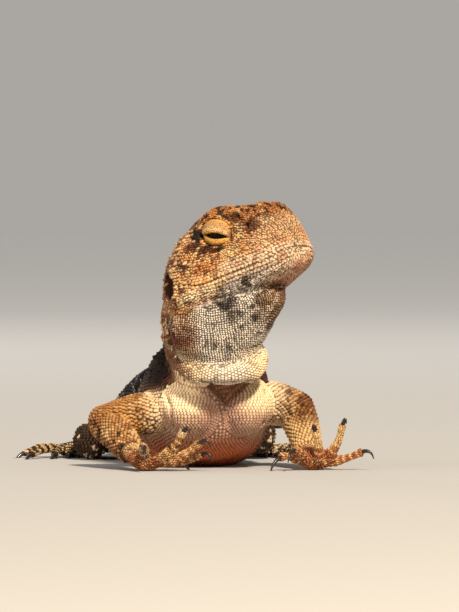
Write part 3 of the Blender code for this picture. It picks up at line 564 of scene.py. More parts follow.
def breast_hollow(points):
    """1 in the hollow below the collar: a V in x and z that opens upward from a point on the breast."""
    x, y, z = points.T
    inside = step(0.5, -0.5, np.abs(x - 0.2) - 1.05 * (z - 11.2))
    return inside * step(16.5, 15.0, z) * step(2.0, 0.0, y)


LUMP_SIZE, LUMP_DEPTH, FACE_LUMP_DEPTH = 1.9, 0.24, 0.31
BREAST_DEPTH, EAR_DEPTH, NOSTRIL_DEPTH, MOUTH_DEPTH, MOUTH_WIDTH = 0.9, 1.5, 1.1, 0.16, 0.22
print(len(HEAD_CREASES), "creases a side on the head,", len(BODY_CREASES), "on the body")

# %% Depth of the skin
points, normals = read_points(base), read_normals(base)
places = to_head(points)
ahead, aside, height = places.T
depth = np.full(len(points), COAT_DEPTH)
mirrored = places * (1, -1, 1)
for width, amount, line in HEAD_CREASES:
    depth += amount * (near_line(places, line, width) + near_line(mirrored, line, width))
for width, amount, line in BODY_CREASES:
    depth += amount * near_line(points, line, width)
depth += BREAST_DEPTH * breast_hollow(points)
on_face = step(2.0, 5.0, ahead) * step(-5.0, -3.0, height) * step(19.0, 16.0, ahead)
depth += (LUMP_DEPTH + FACE_LUMP_DEPTH * on_face) * (patches(points, LUMP_SIZE, 61) - 0.5)
parted = MOUTH_DEPTH * step(4.0, 5.5, ahead) - 0.07 * step(15.0, 19.0, ahead)
depth += parted * np.exp(-(((height - lip_line(ahead)) / MOUTH_WIDTH) ** 2))
cup = 1 - step(0.75, 1.05, ear_share(places))
depth += EAR_DEPTH * cup * (np.abs(aside) > 7.0)
depth += NOSTRIL_DEPTH * (1 - step(0.45, 0.95, from_nostril(places)))
points = points - depth[:, None] * normals
print("deepest fold", round(float(depth.max()), 2), "mm")

# %% Sockets and floor
EYE_OUT = unit(np.array((0.22, 0.96, 0.10)))
EYE_ALONG = unit(np.array((1.0, 0.0, -0.42)) - EYE_OUT * (EYE_OUT @ np.array((1.0, 0.0, -0.42))))
EYE_UP = np.cross(EYE_OUT, EYE_ALONG)
EYE_UP = EYE_UP * np.sign(EYE_UP[2])
LID_WIDE, LID_UP, LID_DOWN = 3.95, 2.75, 2.60
LID_SHIFT = -0.35
LID_STRETCH = 0.86
SLIT_DROP = 0.50


def eye_offsets(places, side):
    """Shares along the slit, up and outward of points from an eye's middle."""
    offset = places * (1, side, 1) - EYE_PLACE
    return offset @ EYE_ALONG, offset @ EYE_UP, offset @ EYE_OUT


def rim_share(along, up):
    """Distance from the eye's middle in shares of the lids' almond: 1 is where they meet the face."""
    return np.hypot((along - LID_SHIFT) / LID_WIDE, (np.abs(up) / np.where(up > 0, LID_UP, LID_DOWN)) ** 0.8)


places = to_head(points)
for side in (1, -1):
    along, up, out = eye_offsets(places, side)
    share = rim_share(along, up)
    sink = (out > 0) * (1 - step(0.72, 1.02, share)) * np.maximum(out - 0.6, 0)
    places = places - sink[:, None] * EYE_OUT * (1, side, 1)
points = from_head(places)
points[:, 2] = np.maximum(points[:, 2], 0.1)
base.vertices.foreach_set("co", ((points + SHIFT) * MM).astype(np.float32).ravel())
base.update()
print("skin spans", np.round(np.ptp(points, axis=0), 1).tolist(), "mm")

# %% [markdown]
# ## Markings
# The lizard is buff and orange-tan above, with dark flecks, pale beads at the lips, a grey-marbled
# throat, a cream collar, a black-brown back with small pale flecks, and dark rings on the tail. The
# markings could be painted on each piece by hand. Here one function for each region gives the
# colour at any place, from soft noise and the body's own directions, so that the scales and the
# skin beneath carry the same markings. Some of the colour is painted light and shade: shade under
# the jaw and chin, low on the throat's far side, in the collar's creases, in the hollow below it,
# on the lower breast and belly, round the lids and on the left hand; light on one side of the chest
# and on the left forearm, with the left upper arm darkened against the key; a warm glow thrown up
# on the belly; and the back's black is partly shade.

# %% Colours and noise
def paint(red, green, blue):
    """A colour given on a scale of 0 to 255, as linear light."""
    share = np.array((red, green, blue)) / 255
    return np.where(share < 0.04045, share / 12.92, ((share + 0.055) / 1.055) ** 2.4)


def cloudy(points, size, seed):
    """Three octaves of value noise on places pushed about by a fourth: 0.5 n(p) + 0.3 n(2p) + 0.2 n(4p)."""
    push = np.stack([patches(points, size * 0.8, seed + k) for k in (31, 32, 33)], axis=-1) - 0.5
    points = points + push * size * 0.9
    total = 0.5 * patches(points, size, seed) + 0.3 * patches(points, size * 0.5, seed + 1)
    return total + 0.2 * patches(points, size * 0.25, seed + 2)


def mixed(first, second, share):
    """first + (second - first) share, for each point."""
    return first + (second - first) * np.clip(share, 0, 1)[:, None]


def over(colour, name, share, tone=1.0):
    """A named colour, its tone changed, laid over another one by shares."""
    return mixed(colour, COLOURS[name] * tone, share)


def layered(colour, *layers):
    """Named colours laid over one another; a layer is a name, its shares and, if need be, a tone."""
    for name, share, *tone in layers:
        colour = over(colour, name, share, *tone)
    return colour


def ground(name):
    """A named colour as the first layer."""
    return COLOURS[name][None]


def mark(places, middle, reach):
    """exp(-|(p - middle) / reach|^2): a soft patch about one place, alike on both sides of the head."""
    away = (np.abs(places * (0, 1, 0)) + places * (1, 0, 1) - middle) / reach
    return np.exp(-(away**2).sum(axis=1))


COLOURS = {
    "buff": paint(222, 166, 108), "orange": paint(206, 122, 58), "brown": paint(104, 56, 30),
    "straw": paint(240, 198, 138), "cream": paint(250, 218, 172), "bead": paint(238, 204, 166),
    "throat": paint(240, 222, 200), "slate": paint(72, 56, 48), "pink": paint(226, 190, 168),
    "breast": paint(196, 150, 126), "rust": paint(176, 96, 54), "black": paint(24, 12, 7),
    "fleck": paint(224, 200, 170), "tan": paint(206, 146, 86), "tail": paint(168, 118, 74),
    "amber": paint(250, 182, 76), "hide": paint(182, 128, 70), "flank": paint(52, 32, 22),
    "dusk": paint(138, 82, 50), "crown": paint(176, 104, 44),
}
FACE_MARKS = (
    # colour, strength, then place forward, out and up, then reach forward, out and up
    ("black", 0.97, (6.7, 8.0, 6.8), (1.0, 3.0, 2.4)), ("black", 0.97, (8.3, 8.0, 3.9), (1.5, 3.0, 0.8)),
    ("black", 0.95, (10.8, 8.0, 3.1), (1.8, 3.0, 0.6)), ("brown", 0.80, (5.2, 9.0, 5.2), (1.3, 3.0, 0.9)),
    ("brown", 0.75, (2.0, 9.0, 5.4), (1.2, 3.0, 0.8)), ("black", 0.80, (3.2, 9.6, 2.6), (0.8, 3.0, 1.1)),
    ("brown", 0.75, (0.6, 9.0, 4.4), (0.9, 3.0, 1.4)), ("orange", 0.50, (3.6, 9.6, 3.9), (1.6, 3.0, 1.0)),
    ("brown", 0.75, (13.7, 7.2, 4.6), (0.5, 3.0, 1.8)), ("brown", 0.90, (18.2, 6.0, 4.8), (1.5, 3.0, 1.4)),
    ("straw", 0.75, (15.6, 6.4, 4.6), (0.9, 3.0, 1.8)), ("orange", 0.60, (15.0, 6.4, 7.4), (1.5, 3.0, 0.9)),
    ("straw", 0.80, (13.6, 7.6, 1.7), (2.4, 3.0, 0.40)), ("brown", 0.60, (9.8, 9.0, -0.7), (1.6, 3.0, 0.5)),
    ("brown", 0.60, (6.4, 9.4, 0.6), (0.9, 3.0, 0.7)), ("slate", 0.65, (11.8, 8.0, -3.2), (1.4, 3.0, 0.6)),
    ("orange", 0.35, (7.6, 9.4, 0.9), (2.0, 3.0, 0.9)), ("black", 0.70, (-2.6, 8.4, 3.2), (0.9, 3.0, 1.5)),
    ("straw", 0.75, (17.0, 4.4, 8.6), (3.0, 3.0, 0.40)), ("straw", 0.60, (12.2, 6.6, 8.7), (1.8, 3.0, 0.45)),
)
print(len(COLOURS), "colours,", len(FACE_MARKS), "face marks")


# %% Colour of the head and throat
def head_colour(points):
    """Buff and orange with brown flecks, marks about the eye, pale beads at the lips, and painted shade in
    the fold under the jaw, under the chin and along the throat's edge.
    """
    places = to_head(points)
    ahead, _, up = places.T
    speck, blotch = cloudy(points, 1.1, 2), cloudy(points, 2.6, 3)
    top = 8.6 - 2.8 * step(13.0, 17.0, ahead)
    crown = step(-1.0, 0.8, up - top) * step(24.0, 20.5, ahead)
    snout = step(15.5, 18.5, ahead) * step(-1.0, 1.5, up) * step(8.0, 6.0, up)
    colour = layered(
        ground("buff"),
        ("orange", step(0.42, 0.62, blotch) * 0.55),
        ("straw", step(0.50, 0.66, cloudy(points, 1.7, 21)) * 0.65),
        ("pink", snout * 0.2),
    )
    for name, strength, middle, reach in FACE_MARKS:
        ragged = mark(places, np.array(middle), np.array(reach)) + 0.5 * (speck - 0.5)
        colour = over(colour, name, step(0.25, 0.60, ragged) * strength)
    flecks = step(0.545, 0.64, speck - 0.05 * snout + 0.03 * crown)
    lips = step(LIP_HEIGHT - 1.7, LIP_HEIGHT - 1.1, up) * step(LIP_HEIGHT + 2.7, LIP_HEIGHT + 1.7, up)
    lips = lips * step(9.0, 13.5, ahead)
    jaw = step(-1.8, -2.8, up) * step(11.5, 7.5, ahead) * step(0.5, 2.5, ahead)
    temple = step(5.0, -2.0, ahead) * step(5.0, 8.0, up)
    # Painted shade: the fold under the jaw and the underside of the chin are darkened with rust.
    fold = mark(places, np.array((6.0, 8.8, -4.7)), np.array((5.0, 4.0, 0.7)))
    shaded_chin = step(14.5, 18.0, ahead) * step(-2.9, -3.6, up)
    colour = layered(
        colour,
        ("brown", flecks * (1 - 0.75 * snout) * 0.85),
        ("crown", crown * 0.8),
        ("straw", crown * step(0.58, 0.70, cloudy(points, 1.5, 22)) * 0.5),
        ("black", crown * step(0.50, 0.60, patches(points, 0.62, 5)) * 0.9),
        ("bead", lips * 0.85),
        ("rust", lips * step(0.60, 0.72, patches(points, 0.9, 6)) * 0.5),
        ("cream", jaw * 0.9),
        ("brown", jaw * step(0.54, 0.66, patches(points, 0.8, 7)) * 0.7),
        ("dusk", step(0.8, -1.2, ahead) * 0.45),
        ("black", temple * step(0.40, 0.56, blotch) * 0.8),
        ("rust", fold * 0.5),
        ("rust", shaded_chin * (0.45 + 0.6 * speck), 0.75),
    )
    colour = colour * (1 - 0.16 * step(11.0, 16.0, ahead))[:, None]
    border = -4.6 + 1.6 * step(6.0, 12.0, ahead)
    colour = mixed(colour, throat_colour(points), step(0.3, -0.4, up - border) * step(-1.0, 1.0, ahead))
    shade = np.exp(-(((up - border + 0.3) / 0.45) ** 2)) * step(1.0, 3.0, ahead) * step(18.0, 14.0, ahead)
    return over(colour, "dusk", shade * 0.45, 0.6)


def throat_colour(points):
    """White-grey with ragged dark marbling, tan at the rear; painted shade darkens the lower rear and the
    underside of the chin.
    """
    x, _, z = points.T
    ahead, out, _ = to_head(points).T
    marble = cloudy(points * (1.0, 1.0, 0.7), 3.6, 4) - 0.06 * step(28.0, 33.0, z)
    speck = cloudy(points, 1.2, 14)
    rear = step(-3.5, -7.5, x)
    warm = step(4.0, 8.0, x) * step(24.0, 28.0, z)
    # Dark flecks, and below z 28 painted shade on the throat's far side.
    flecks_and_shade = step(0.46, 0.58, speck) * 0.4 + 0.6 * step(28.0, 24.0, z)
    bead = step(0.50, 0.62, patches(points, 0.5, 71))
    shaded_chin = step(13.0, 17.0, ahead) * step(4.5, 0.5, out)
    colour = layered(
        ground("throat"),
        ("slate", step(0.43, 0.58, 0.6 * marble + 0.4 * speck) * 0.85),
        ("black", step(0.55, 0.64, 0.5 * marble + 0.5 * speck) * 0.75),
        ("tan", rear * 0.7),
        # Rust in a darker tone low on the far side: partly its own colour, partly painted shade.
        ("rust", rear * step(27.0, 23.0, z) * 0.8, (0.75, 0.5, 0.4)),
        ("buff", warm * 0.35),
        ("dusk", rear * flecks_and_shade, 0.55),
        ("bead", rear * bead * step(22.5, 26.0, z) * 0.7),
        ("rust", shaded_chin * (0.40 + 0.6 * speck), 0.8),
    )
    bib = over(ground("throat"), "cream", step(2.0, 5.5, np.abs(x + 0.8)))
    return mixed(colour, bib, step(22.5, 19.5, z) * 0.75)


# %% Colour of the body, limbs and tail
def collar_colour(points):
    """The bib: cream-yellow at its two ends, grey-white in the middle, a few brown flecks, brown at its far
    end, with painted shade in the creases there.
    """
    x = points[:, 0]
    # Painted shade: dusky patches in the creases towards negative x.
    fleck = step(-4.5, -7.0, x) * step(0.50, 0.58, cloudy(points, 1.1, 46))
    return layered(
        ground("throat"),
        ("cream", 0.25 + 0.75 * step(2.0, 5.5, np.abs(x - 0.6))),
        ("brown", step(0.60, 0.68, cloudy(points, 1.3, 41)) * 0.6),
        ("dusk", fleck * 0.6),
        ("dusk", step(-6.2, -8.0, x) * 0.85),
    )


def body_colour(points, back):
    """Cream and pink below, black-brown above with pale flecks, with painted light and shade on the chest,
    belly and back; back is 1 on the spine, -1 below.
    """
    coarse, fine = cloudy(points, 3.0, 6), cloudy(points, 1.3, 7)
    x, y, height = points.T
    across = np.abs(x + 0.6)
    below = layered(
        ground("cream"),
        # Painted light: the chest is lightened towards negative x.
        ("cream", step(-2.0, -6.0, x), 1.42),
        ("breast", step(5.5, 2.0, across) * 0.95),
        # Painted shade: the lower breast turns pink-brown and then darker where it faces down; the rust below
        # it, in a lighter tone, is painted warm light thrown up from beneath.
        ("breast", step(11.5, 9.0, height) * 0.8),
        ("dusk", step(7.5, 3.0, height) * 0.55),
        ("rust", step(7.0, 2.5, height) * 0.8, (1.5, 1.25, 0.95)),
        # Painted shade in the hollow below the collar.
        ("dusk", breast_hollow(points) * 0.75),
    )
    rows = np.sin(y * 0.8) * np.sin(x * 0.75)
    above = layered(
        # The back's near-black is partly its own colour and partly painted shade.
        ground("black") * 0.35,
        ("flank", step(0.52, 0.70, coarse) * 0.5),
        ("fleck", step(0.66, 0.71, cloudy(points, 0.8, 8)) * 0.7),
        ("tan", step(0.75, 0.92, rows + 0.4 * (fine - 0.5)) * 0.7),
    )
    side = layered(
        ground("flank") * (1.3, 1.0, 0.8),
        ("dusk", step(0.54, 0.64, fine) * 0.7),
        ("black", step(-10.0, -11.6, x - 0.3 * (height - 15)) * 0.9, 0.4),
    )
    nape = layered(
        ground("tan"),
        ("dusk", step(0.40, 0.54, fine) * 0.9, 0.7),
        ("bead", step(0.50, 0.60, patches(points, 0.6, 73)) * 0.85, 1.15),
    )
    edge = back + 0.34 * step(12.0, 18.0, y) + 0.5 * (coarse - 0.5)
    neck = step(12.5, 15.5, height) * step(14.0, 8.0, y)
    colour = over(below, "dusk", step(-0.45, -0.15, edge))
    colour = mixed(colour, above, step(-0.25, 0.05, edge))
    colour = over(colour, "dusk", neck * step(-0.80, -0.60, back) * 0.9)
    colour = mixed(colour, side, neck * step(-0.65, -0.45, back) * 0.95)
    colour = mixed(colour, nape, step(20.5, 23.5, height) * step(0.75, 0.3, back) * 0.95)
    on_arm = step(9.6, 11.6, across) * (y < 6) * step(13.6, 12.4, height)
    return mixed(colour, limb_colour(points, 0 * back + 0.3), on_arm)


def limb_colour(points, back):
    """Buff-tan above with dark seams and flecks, cream beneath; black hind limbs with pale flecks; painted
    light and shade on the left fore limb and hand.
    """
    coarse, fine = cloudy(points, 2.6, 9), cloudy(points, 1.2, 10)
    x, y, z = points.T
    fore = y < 20
    lower = step(8.5, 6.5, z) * fore * step(2.0, -6.0, x)
    shoulder = step(14.5, 9.5, np.abs(x + 1.2)) * fore * step(5.5, 7.5, z)
    left = step(8.0, 11.0, x) * fore
    mottle = left * step(8.0, 9.5, z) * step(0.50, 0.58, cloudy(points, 1.0, 45))
    colour = layered(
        ground("hide"),
        ("brown", step(0.44, 0.62, coarse) * 0.5, 1.9),
        ("straw", step(0.52, 0.64, cloudy(points, 1.6, 43)) * 0.4, 0.9),
        ("dusk", lower * 0.3),
        ("straw", lower * step(0.50, 0.58, cloudy(points, 1.4, 44)) * 0.65),
        ("brown", step(0.53, 0.62, 0.5 * coarse + 0.5 * fine) * (0.60 + 0.35 * lower)),
        ("black", step(0.60, 0.68, fine) * lower * 0.7),
        ("cream", step(0.0, -0.6, back) * 0.75),
        ("cream", shoulder * 0.85),
        ("brown", mottle * 0.75, 0.8),
    )
    # Painted light and shade: on the left fore limb the upper arm is darkened against the key light and the
    # forearm lightened with straw.
    colour = colour * (1 - 0.20 * left * step(6.5, 8.5, z))[:, None]
    colour = over(colour, "straw", left * step(9.0, 7.0, z) * 0.6)
    # The palms and fingers take rust; on the left the band is higher and darker, as painted shade.
    hand = step(3.4 + 1.4 * left, 2.4 + left, z) * fore
    colour = over(colour, "rust", hand * (0.6 + 0.25 * left), (0.85, 0.7, 0.6))
    dark = over(ground("black"), "fleck", step(0.58, 0.64, fine) * 0.9)
    return mixed(colour, dark, step(30, 36, y) * step(-0.5, 0.0, back) * 0.92)


def tail_colour(points, _, along):
    """Dark rings that grow plainer towards the tip, on brown-tan."""
    wave = np.sin(2 * np.pi * TAIL_RINGS * along + 1.2 * (cloudy(points, 3.0, 11) - 0.5))
    return layered(
        ground("tail"),
        ("brown", step(0.45, 0.62, cloudy(points, 1.6, 12)) * 0.6),
        ("fleck", step(0.58, 0.66, cloudy(points, 1.2, 13)) * 0.5),
        ("black", step(-0.15, 0.40, wave) * (0.5 + 0.5 * along)),
    )


print("head, throat, collar, body, limb and tail have their colours")

# %% [markdown]
# ## Scales
# A lizard's scales stand in quincunx: each row sits in the gaps of the one before, and each plate
# overlaps the next towards the tail. A bump pattern could show them, but the outline would stay
# smooth, and a particle system scatters them without rows. So rows are laid along each form at a
# pitch judged from the photo, each root is dropped on to the skin, and one small plate is copied to
# every root by whole arrays. A root that another form hides, or that falls on an earlier scale, is
# left out.

# %% Plate
def plate(corners, keel, lift, point):
    """A small shield: a sunk rim, a raised rim that lifts to the rear, and a keel.

    Outline: u = cos a (1 + point max(cos a, 0)) / 2, v = sin a (1 - 0.3 max(cos a, 0)) / 2.
    """
    turn = np.linspace(0, 2 * np.pi, corners, endpoint=False)
    cos, sin = np.cos(turn), np.sin(turn)
    u = 0.5 * cos * (1 + point * cos.clip(0))
    v = 0.5 * sin * (1 - 0.3 * cos.clip(0))
    rim = np.column_stack([u, v, np.full(corners, -0.55)])
    edge = np.column_stack([u * 0.86, v * 0.84, 0.30 + lift * (u + 0.3).clip(0)])
    ridge = np.array(((-0.24, 0.0, 0.62), (0.26, 0.0, 0.62 + keel + 0.5 * lift)))
    points = np.vstack([rim, edge, ridge])
    ring = np.arange(corners)
    after = (ring + 1) % corners
    sides = [
        np.column_stack([ring, after, after + corners]),
        np.column_stack([ring, after + corners, ring + corners]),
    ]
    front, rear = 2 * corners, 2 * corners + 1
    apex = np.where(np.cos(turn + np.pi / corners) > 0, rear, front)
    crown = np.column_stack([ring + corners, after + corners, apex])
    swaps = np.nonzero(apex != np.roll(apex, 1))[0]
    bridge = [(place + corners, apex[place], apex[place - 1]) for place in swaps]
    height = np.concatenate([np.zeros(corners), np.full(corners, 0.74), (1.0, 1.05)])
    return points, np.vstack([*sides, crown, bridge]), height


PLATES = {
    # corners, keel, lift, point
    "bead": plate(6, 0.25, 0.25, 0.0),
    "shield": plate(6, 0.30, 0.55, 0.25),
    "keeled": plate(6, 0.75, 0.70, 0.45),
}
print({name: len(faces) for name, (_, faces, _) in PLATES.items()}, "triangles a scale")


# %% Rows
ROW_STEP, CLEARANCE, CELL, LOWEST = 0.87, 0.62, 0.5, 0.25
NEIGHBOURS = np.array(list(np.ndindex(3, 3, 3))) - 1


def scale_rows(rings, pitch):
    """Roots in quincunx on a ring surface: rows 0.87 of a pitch apart, in each a root every pitch.

    pitch(points) gives the distance between scales in millimetres. Returns roots, the way they
    lie, their pitch, their place (turn, share) on the opened-out surface and their way outward.
    """
    steps = np.linalg.norm(np.diff(rings, axis=0), axis=2).mean(axis=1)
    mean_pitch = np.array([pitch(ring).mean() for ring in rings])
    count = np.concatenate([[0], np.cumsum(steps / (ROW_STEP * (mean_pitch[1:] + mean_pitch[:-1]) / 2))])
    shares = np.linspace(0, 1, len(rings))
    found = []
    for row, place in enumerate(np.arange(0.5, count[-1], 1.0)):
        share = np.interp(place, count, shares) * (len(rings) - 1)
        first = min(int(share), len(rings) - 2)
        ring = rings[first] + (share - first) * (rings[first + 1] - rings[first])
        lie = rings[first + 1] - rings[first]
        ring = np.vstack([ring, ring[:1]])
        lie = np.vstack([lie, lie[:1]])
        local = pitch(ring)
        gaps = np.linalg.norm(np.diff(ring, axis=0), axis=1) / (0.5 * (local[1:] + local[:-1]))
        sums = np.concatenate([[0], np.cumsum(gaps)])
        many = max(int(round(sums[-1])), 3)
        marks = (np.arange(many) + 0.5 * (row % 2)) / many * sums[-1]
        turn = np.interp(marks, sums, np.linspace(0, 1, len(ring)))
        columns = [np.interp(marks, sums, values) for values in (*ring.T, *lie.T, local)]
        where = np.column_stack([turn, np.full(many, share / (len(rings) - 1))])
        outward = np.stack(columns[:3], axis=-1) - ring[:-1].mean(axis=0)
        found.append(np.column_stack([*columns, where, unit(outward)]))
    found = np.vstack(found)
    return found[:, :3], found[:, 3:6], found[:, 6], found[:, 7:9], found[:, 9:12]


class Coat:
    """The scales laid so far, so that no two grow from the same place."""

    def __init__(self, surface, seed):
        loops = np.empty(len(surface.loops), dtype=np.int32)
        surface.loops.foreach_get("vertex_index", loops)
        self.tree = BVHTree.FromPolygons(read_points(surface).tolist(), loops.reshape(-1, 4).tolist())
        self.random = np.random.default_rng(seed)
        self.cells = {}

    def settle(self, roots, reach, outward=None):
        """Each root moved to the nearest skin, or out to the swelling that covers it.

        Returns the places on the skin, its normals there and whether each root found a place.
        """
        hits = [self.tree.find_nearest(root) for root in roots.tolist()]
        if outward is not None:
            for place, way in enumerate(outward.tolist()):
                if hits[place][3] >= reach:
                    onward = self.tree.ray_cast(roots[place].tolist(), way, 3.0)
                    if onward[0] is not None:
                        hits[place] = (*onward[:3], 0.0)
        spots = np.array([hit[0] for hit in hits])
        normals = np.array([hit[1] for hit in hits])
        near = np.array([hit[3] for hit in hits]) < reach
        return spots, normals, near & (spots[:, 2] > LOWEST)

    def free(self, spots, pitch, near):
        """Marks the roots that stand clear of every earlier region's scales by 0.62 of a pitch."""
        keys = np.floor(spots / CELL).astype(int)
        clear = near.copy()
        for place in np.nonzero(near)[0]:
            limit = (CLEARANCE * pitch[place]) ** 2
            for cell in (keys[place] + NEIGHBOURS).tolist():
                for other in self.cells.get(tuple(cell), ()):
                    if clear[place] and ((spots[place] - other) ** 2).sum() < limit:
                        clear[place] = False
        for place in np.nonzero(clear)[0]:
            self.cells.setdefault(tuple(keys[place].tolist()), []).append(spots[place])
        return clear


coat = Coat(base, 7)
print("skin ready for scales")


# %% Laying scales
TILE_EDGE, PATCH = 0.006, 0.0024


def on_tile(number, shares):
    """Places on the map: each form opens out on its own tile, in a grid of 8 by 8."""
    corner = np.array((number % 8, number // 8)) / 8 + TILE_EDGE
    return corner + (1 / 8 - 2 * TILE_EDGE) * shares


def tint_points(mesh, tints, heights):
    """Gives each point its colour and, as a fourth number, its height from seam to keel."""
    tints = tints.reshape(-1, 3)
    four = np.column_stack([tints, np.broadcast_to(heights, len(tints))])
    layer = mesh.color_attributes.new("tint", "FLOAT_COLOR", "POINT")
    layer.data.foreach_set("color", four.astype(np.float32).ravel())


def lay(batch, roots, lies, normals, pitch, tints, places, kind, size):
    """Adds one plate at every root: p = root + u long lie + v wide side + w tall normal."""
    shape, faces, height = PLATES[kind]
    long, wide, tall = size
    lies = unit(lies - (lies * normals).sum(axis=1, keepdims=True) * normals)
    sides = np.cross(normals, lies)
    points = roots[:, None] + pitch[:, None, None] * (
        long * shape[None, :, :1] * lies[:, None] + wide * shape[None, :, 1:2] * sides[:, None]
        + tall * shape[None, :, 2:] * normals[:, None]
    )
    points[..., 2] = np.maximum(points[..., 2], 0.02)
    batch.append((points, faces, height, tints, places, shape[:, :2]))


def build_coat(name, batches, finish):
    """One mesh of many plates, with their colours and the OFBake map: a patch at each root's place."""
    points, faces, colours, heights, maps, start = [], [], [], [], [], 0
    for spots, triangles, height, tints, places, flat in batches:
        count, each = spots.shape[:2]
        points.append(spots.reshape(-1, 3))
        faces.append((triangles[None] + start + each * np.arange(count)[:, None, None]).reshape(-1, 3))
        colours.append(np.repeat(tints, each, axis=0))
        heights.append(np.tile(height, count))
        maps.append((places[:, None] + PATCH * flat[None]).reshape(-1, 2))
        start += count * each
    faces = np.vstack(faces)
    obj = make_mesh(name, np.vstack(points), faces)
    tint_points(obj.data, np.vstack(colours), np.concatenate(heights))
    layer = obj.data.uv_layers.new(name="OFBake")
    layer.data.foreach_set("uv", np.vstack(maps)[faces.ravel()].astype(np.float32).ravel())
    obj.data.materials.append(finish)
    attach(obj, "root")
    print(name, len(faces), "triangles")
    return obj


ROOT_POINTS, ROOT_COLOURS = [], []
TILES = {name: place for place, name in enumerate(forms)}
LIP_TILE, LID_TILE = 62, 63
NEAR, FAR = 0.45, 1.2
WIDE_ROAM, SMALL_ROAM = 1.2, 0.25


def remember(spots, tints):
    """Keeps roots and their colours for the skin, which takes them up later."""
    ROOT_POINTS.append(spots)
    ROOT_COLOURS.append(tints)


def grow(
    batch, name, pitch, colour, kind, size=(1.2, 1.0, 0.3), wanted=None, reach=NEAR, uneven=0.08,
    flip=False, push=False,
):
    """Scales on one form: rows, dropped on the skin, thinned, coloured and laid.

    pitch is a length or gives one for each point; wanted says which roots may stand; reach is how
    far the skin may be; uneven is the share by which places and sizes stray; flip turns the scales
    round, and push lets roots go out to a swelling that covers them.
    """
    local_pitch = pitch if callable(pitch) else lambda points: np.full(len(points), pitch)
    roots, lies, local, where, outward = scale_rows(forms[name], local_pitch)
    drift = np.stack([patches(roots, 4.5, seed) for seed in (51, 52, 53)], axis=-1) - 0.5
    roam = WIDE_ROAM if uneven > 0.07 and reach == FAR else SMALL_ROAM
    roots = roots + roam * drift + coat.random.normal(0, uneven, roots.shape) * local[:, None]
    spots, normals, near = coat.settle(roots, reach, outward if push else None)
    if wanted is not None:
        near &= wanted(spots)
    clear = coat.free(spots, local, near)
    spots, normals, local, where = spots[clear], normals[clear], local[clear], where[clear]
    lies = -lies[clear] if flip else lies[clear]
    tints = colour(spots, np.cos(2 * np.pi * where[:, 0]), where[:, 1])
    tints = tints * (1 + coat.random.normal(0, 0.06 + 0.6 * uneven, (len(spots), 1))).clip(0.55, 1.45)
    remember(spots, tints)
    stray = 1 + coat.random.normal(0, uneven, len(spots)).clip(-0.25, 0.5)
    lay(batch, spots, lies, normals, local * stray, tints, on_tile(TILES[name], where), kind, size)
    return len(spots)


def by_place(colour, *back):
    """A colour of place, and of one fixed share of back where it takes one, as grow calls it."""
    return lambda points, _, __: colour(points, *(np.full(len(points), value) for value in back))


print(len(TILES), "forms on the map's tiles")

# %% [markdown]
# ## Scales of the head
# The face carries small beads, and along the lips they are larger, paler and follow the mouth. Even
# rows over the whole head would be simpler, but they would cut across the mouth, so the lip rows
# are laid first, along curves of their own, and the rest fill in round them.

# %% Lip beads
HEAD_GRID = head_places()
LIP_BEAD = (1.02, 0.98, 0.36)
LIP_ROWS = (
    # height over the mouth's line and size of the beads
    (0.44, 0.84), (1.12, 0.78), (1.76, 0.72), (2.36, 0.66), (-0.44, 0.84), (-1.12, 0.74), (-1.74, 0.66)
)


def lip_path(offset, side):
    """A line along the lip on one side, at a height over the mouth's line, on the head's own rings."""
    half = HEAD_GRID.shape[1] // 2 + 1
    ahead = np.linspace(5.0, SNOUT_TO_EAR - 0.25, 200)
    target = lip_line(ahead) + offset * (0.75 + 0.25 * step(5, 12, ahead))
    nearest = np.searchsorted(HEAD_GRID[:, 0, 0], ahead).clip(0, len(HEAD_GRID) - 1)
    out = [
        np.interp(-level, -ring[:half, 2], ring[:half, 1]) for level, ring in zip(target, HEAD_GRID[nearest])
    ]
    return from_head(np.column_stack([ahead, np.array(out) * side, target]))


face = []
lip_count = 0
for row, (offset, size) in enumerate(LIP_ROWS):
    for side in (1, -1):
        line = lip_path(offset, side)
        lengths = lengths_along(line)
        marks = np.arange(0.5 * (row % 2) * size, lengths[-1], size)
        spots, normals, near = coat.settle(read_at(marks, lengths, line.T), 1.0)
        near = coat.free(spots, np.full(len(spots), size * 0.9), near)
        spots, normals = spots[near], normals[near]
        many = len(spots)
        tints = head_colour(spots) * coat.random.normal(1, 0.07, (many, 1))
        remember(spots, tints)
        shares = np.column_stack([marks[near] / lengths[-1], np.full(many, (row * 2 + (side > 0)) / 14)])
        lies = -np.broadcast_to(HEAD_AXES[0], spots.shape)
        where = on_tile(LIP_TILE, shares)
        lay(face, spots, lies, normals, np.full(many, size), tints, where, "bead", LIP_BEAD)
        lip_count += many
print(lip_count, "lip beads")


# %% Face scales
SPINE, FACE_BEAD, LID_BEAD = (0.84, 0.70, 0.34), (1.12, 1.02, 0.40), (1.0, 1.0, 0.3)


def face_pitch(points):
    """0.46 mm, less by 0.10 round the eyes and more by 0.06 under the jaw."""
    places = to_head(points)
    eye = np.linalg.norm(np.abs(places) - EYE_PLACE, axis=1)
    return 0.46 - 0.10 * np.exp(-((eye / 5.0) ** 2)) + 0.06 * step(-2, -5, places[:, 2])


def off_the_eye(spots):
    """True away from the lids, the ear's cup, the nostril and the mouth's line."""
    places = to_head(spots)
    ahead, aside, height = places.T
    keep = (ear_share(places) > 1.0) | (np.abs(aside) < 7.0)
    keep &= from_nostril(places) > 0.75
    shut = 0.12 - 0.07 * step(15.0, 19.0, ahead)
    keep &= (np.abs(height - lip_line(ahead)) > shut) | (ahead < 5.0)
    for side in (1, -1):
        along, up, out = eye_offsets(places, side)
        keep &= (rim_share(along, up) > 0.87) | (out < 0)
    return keep


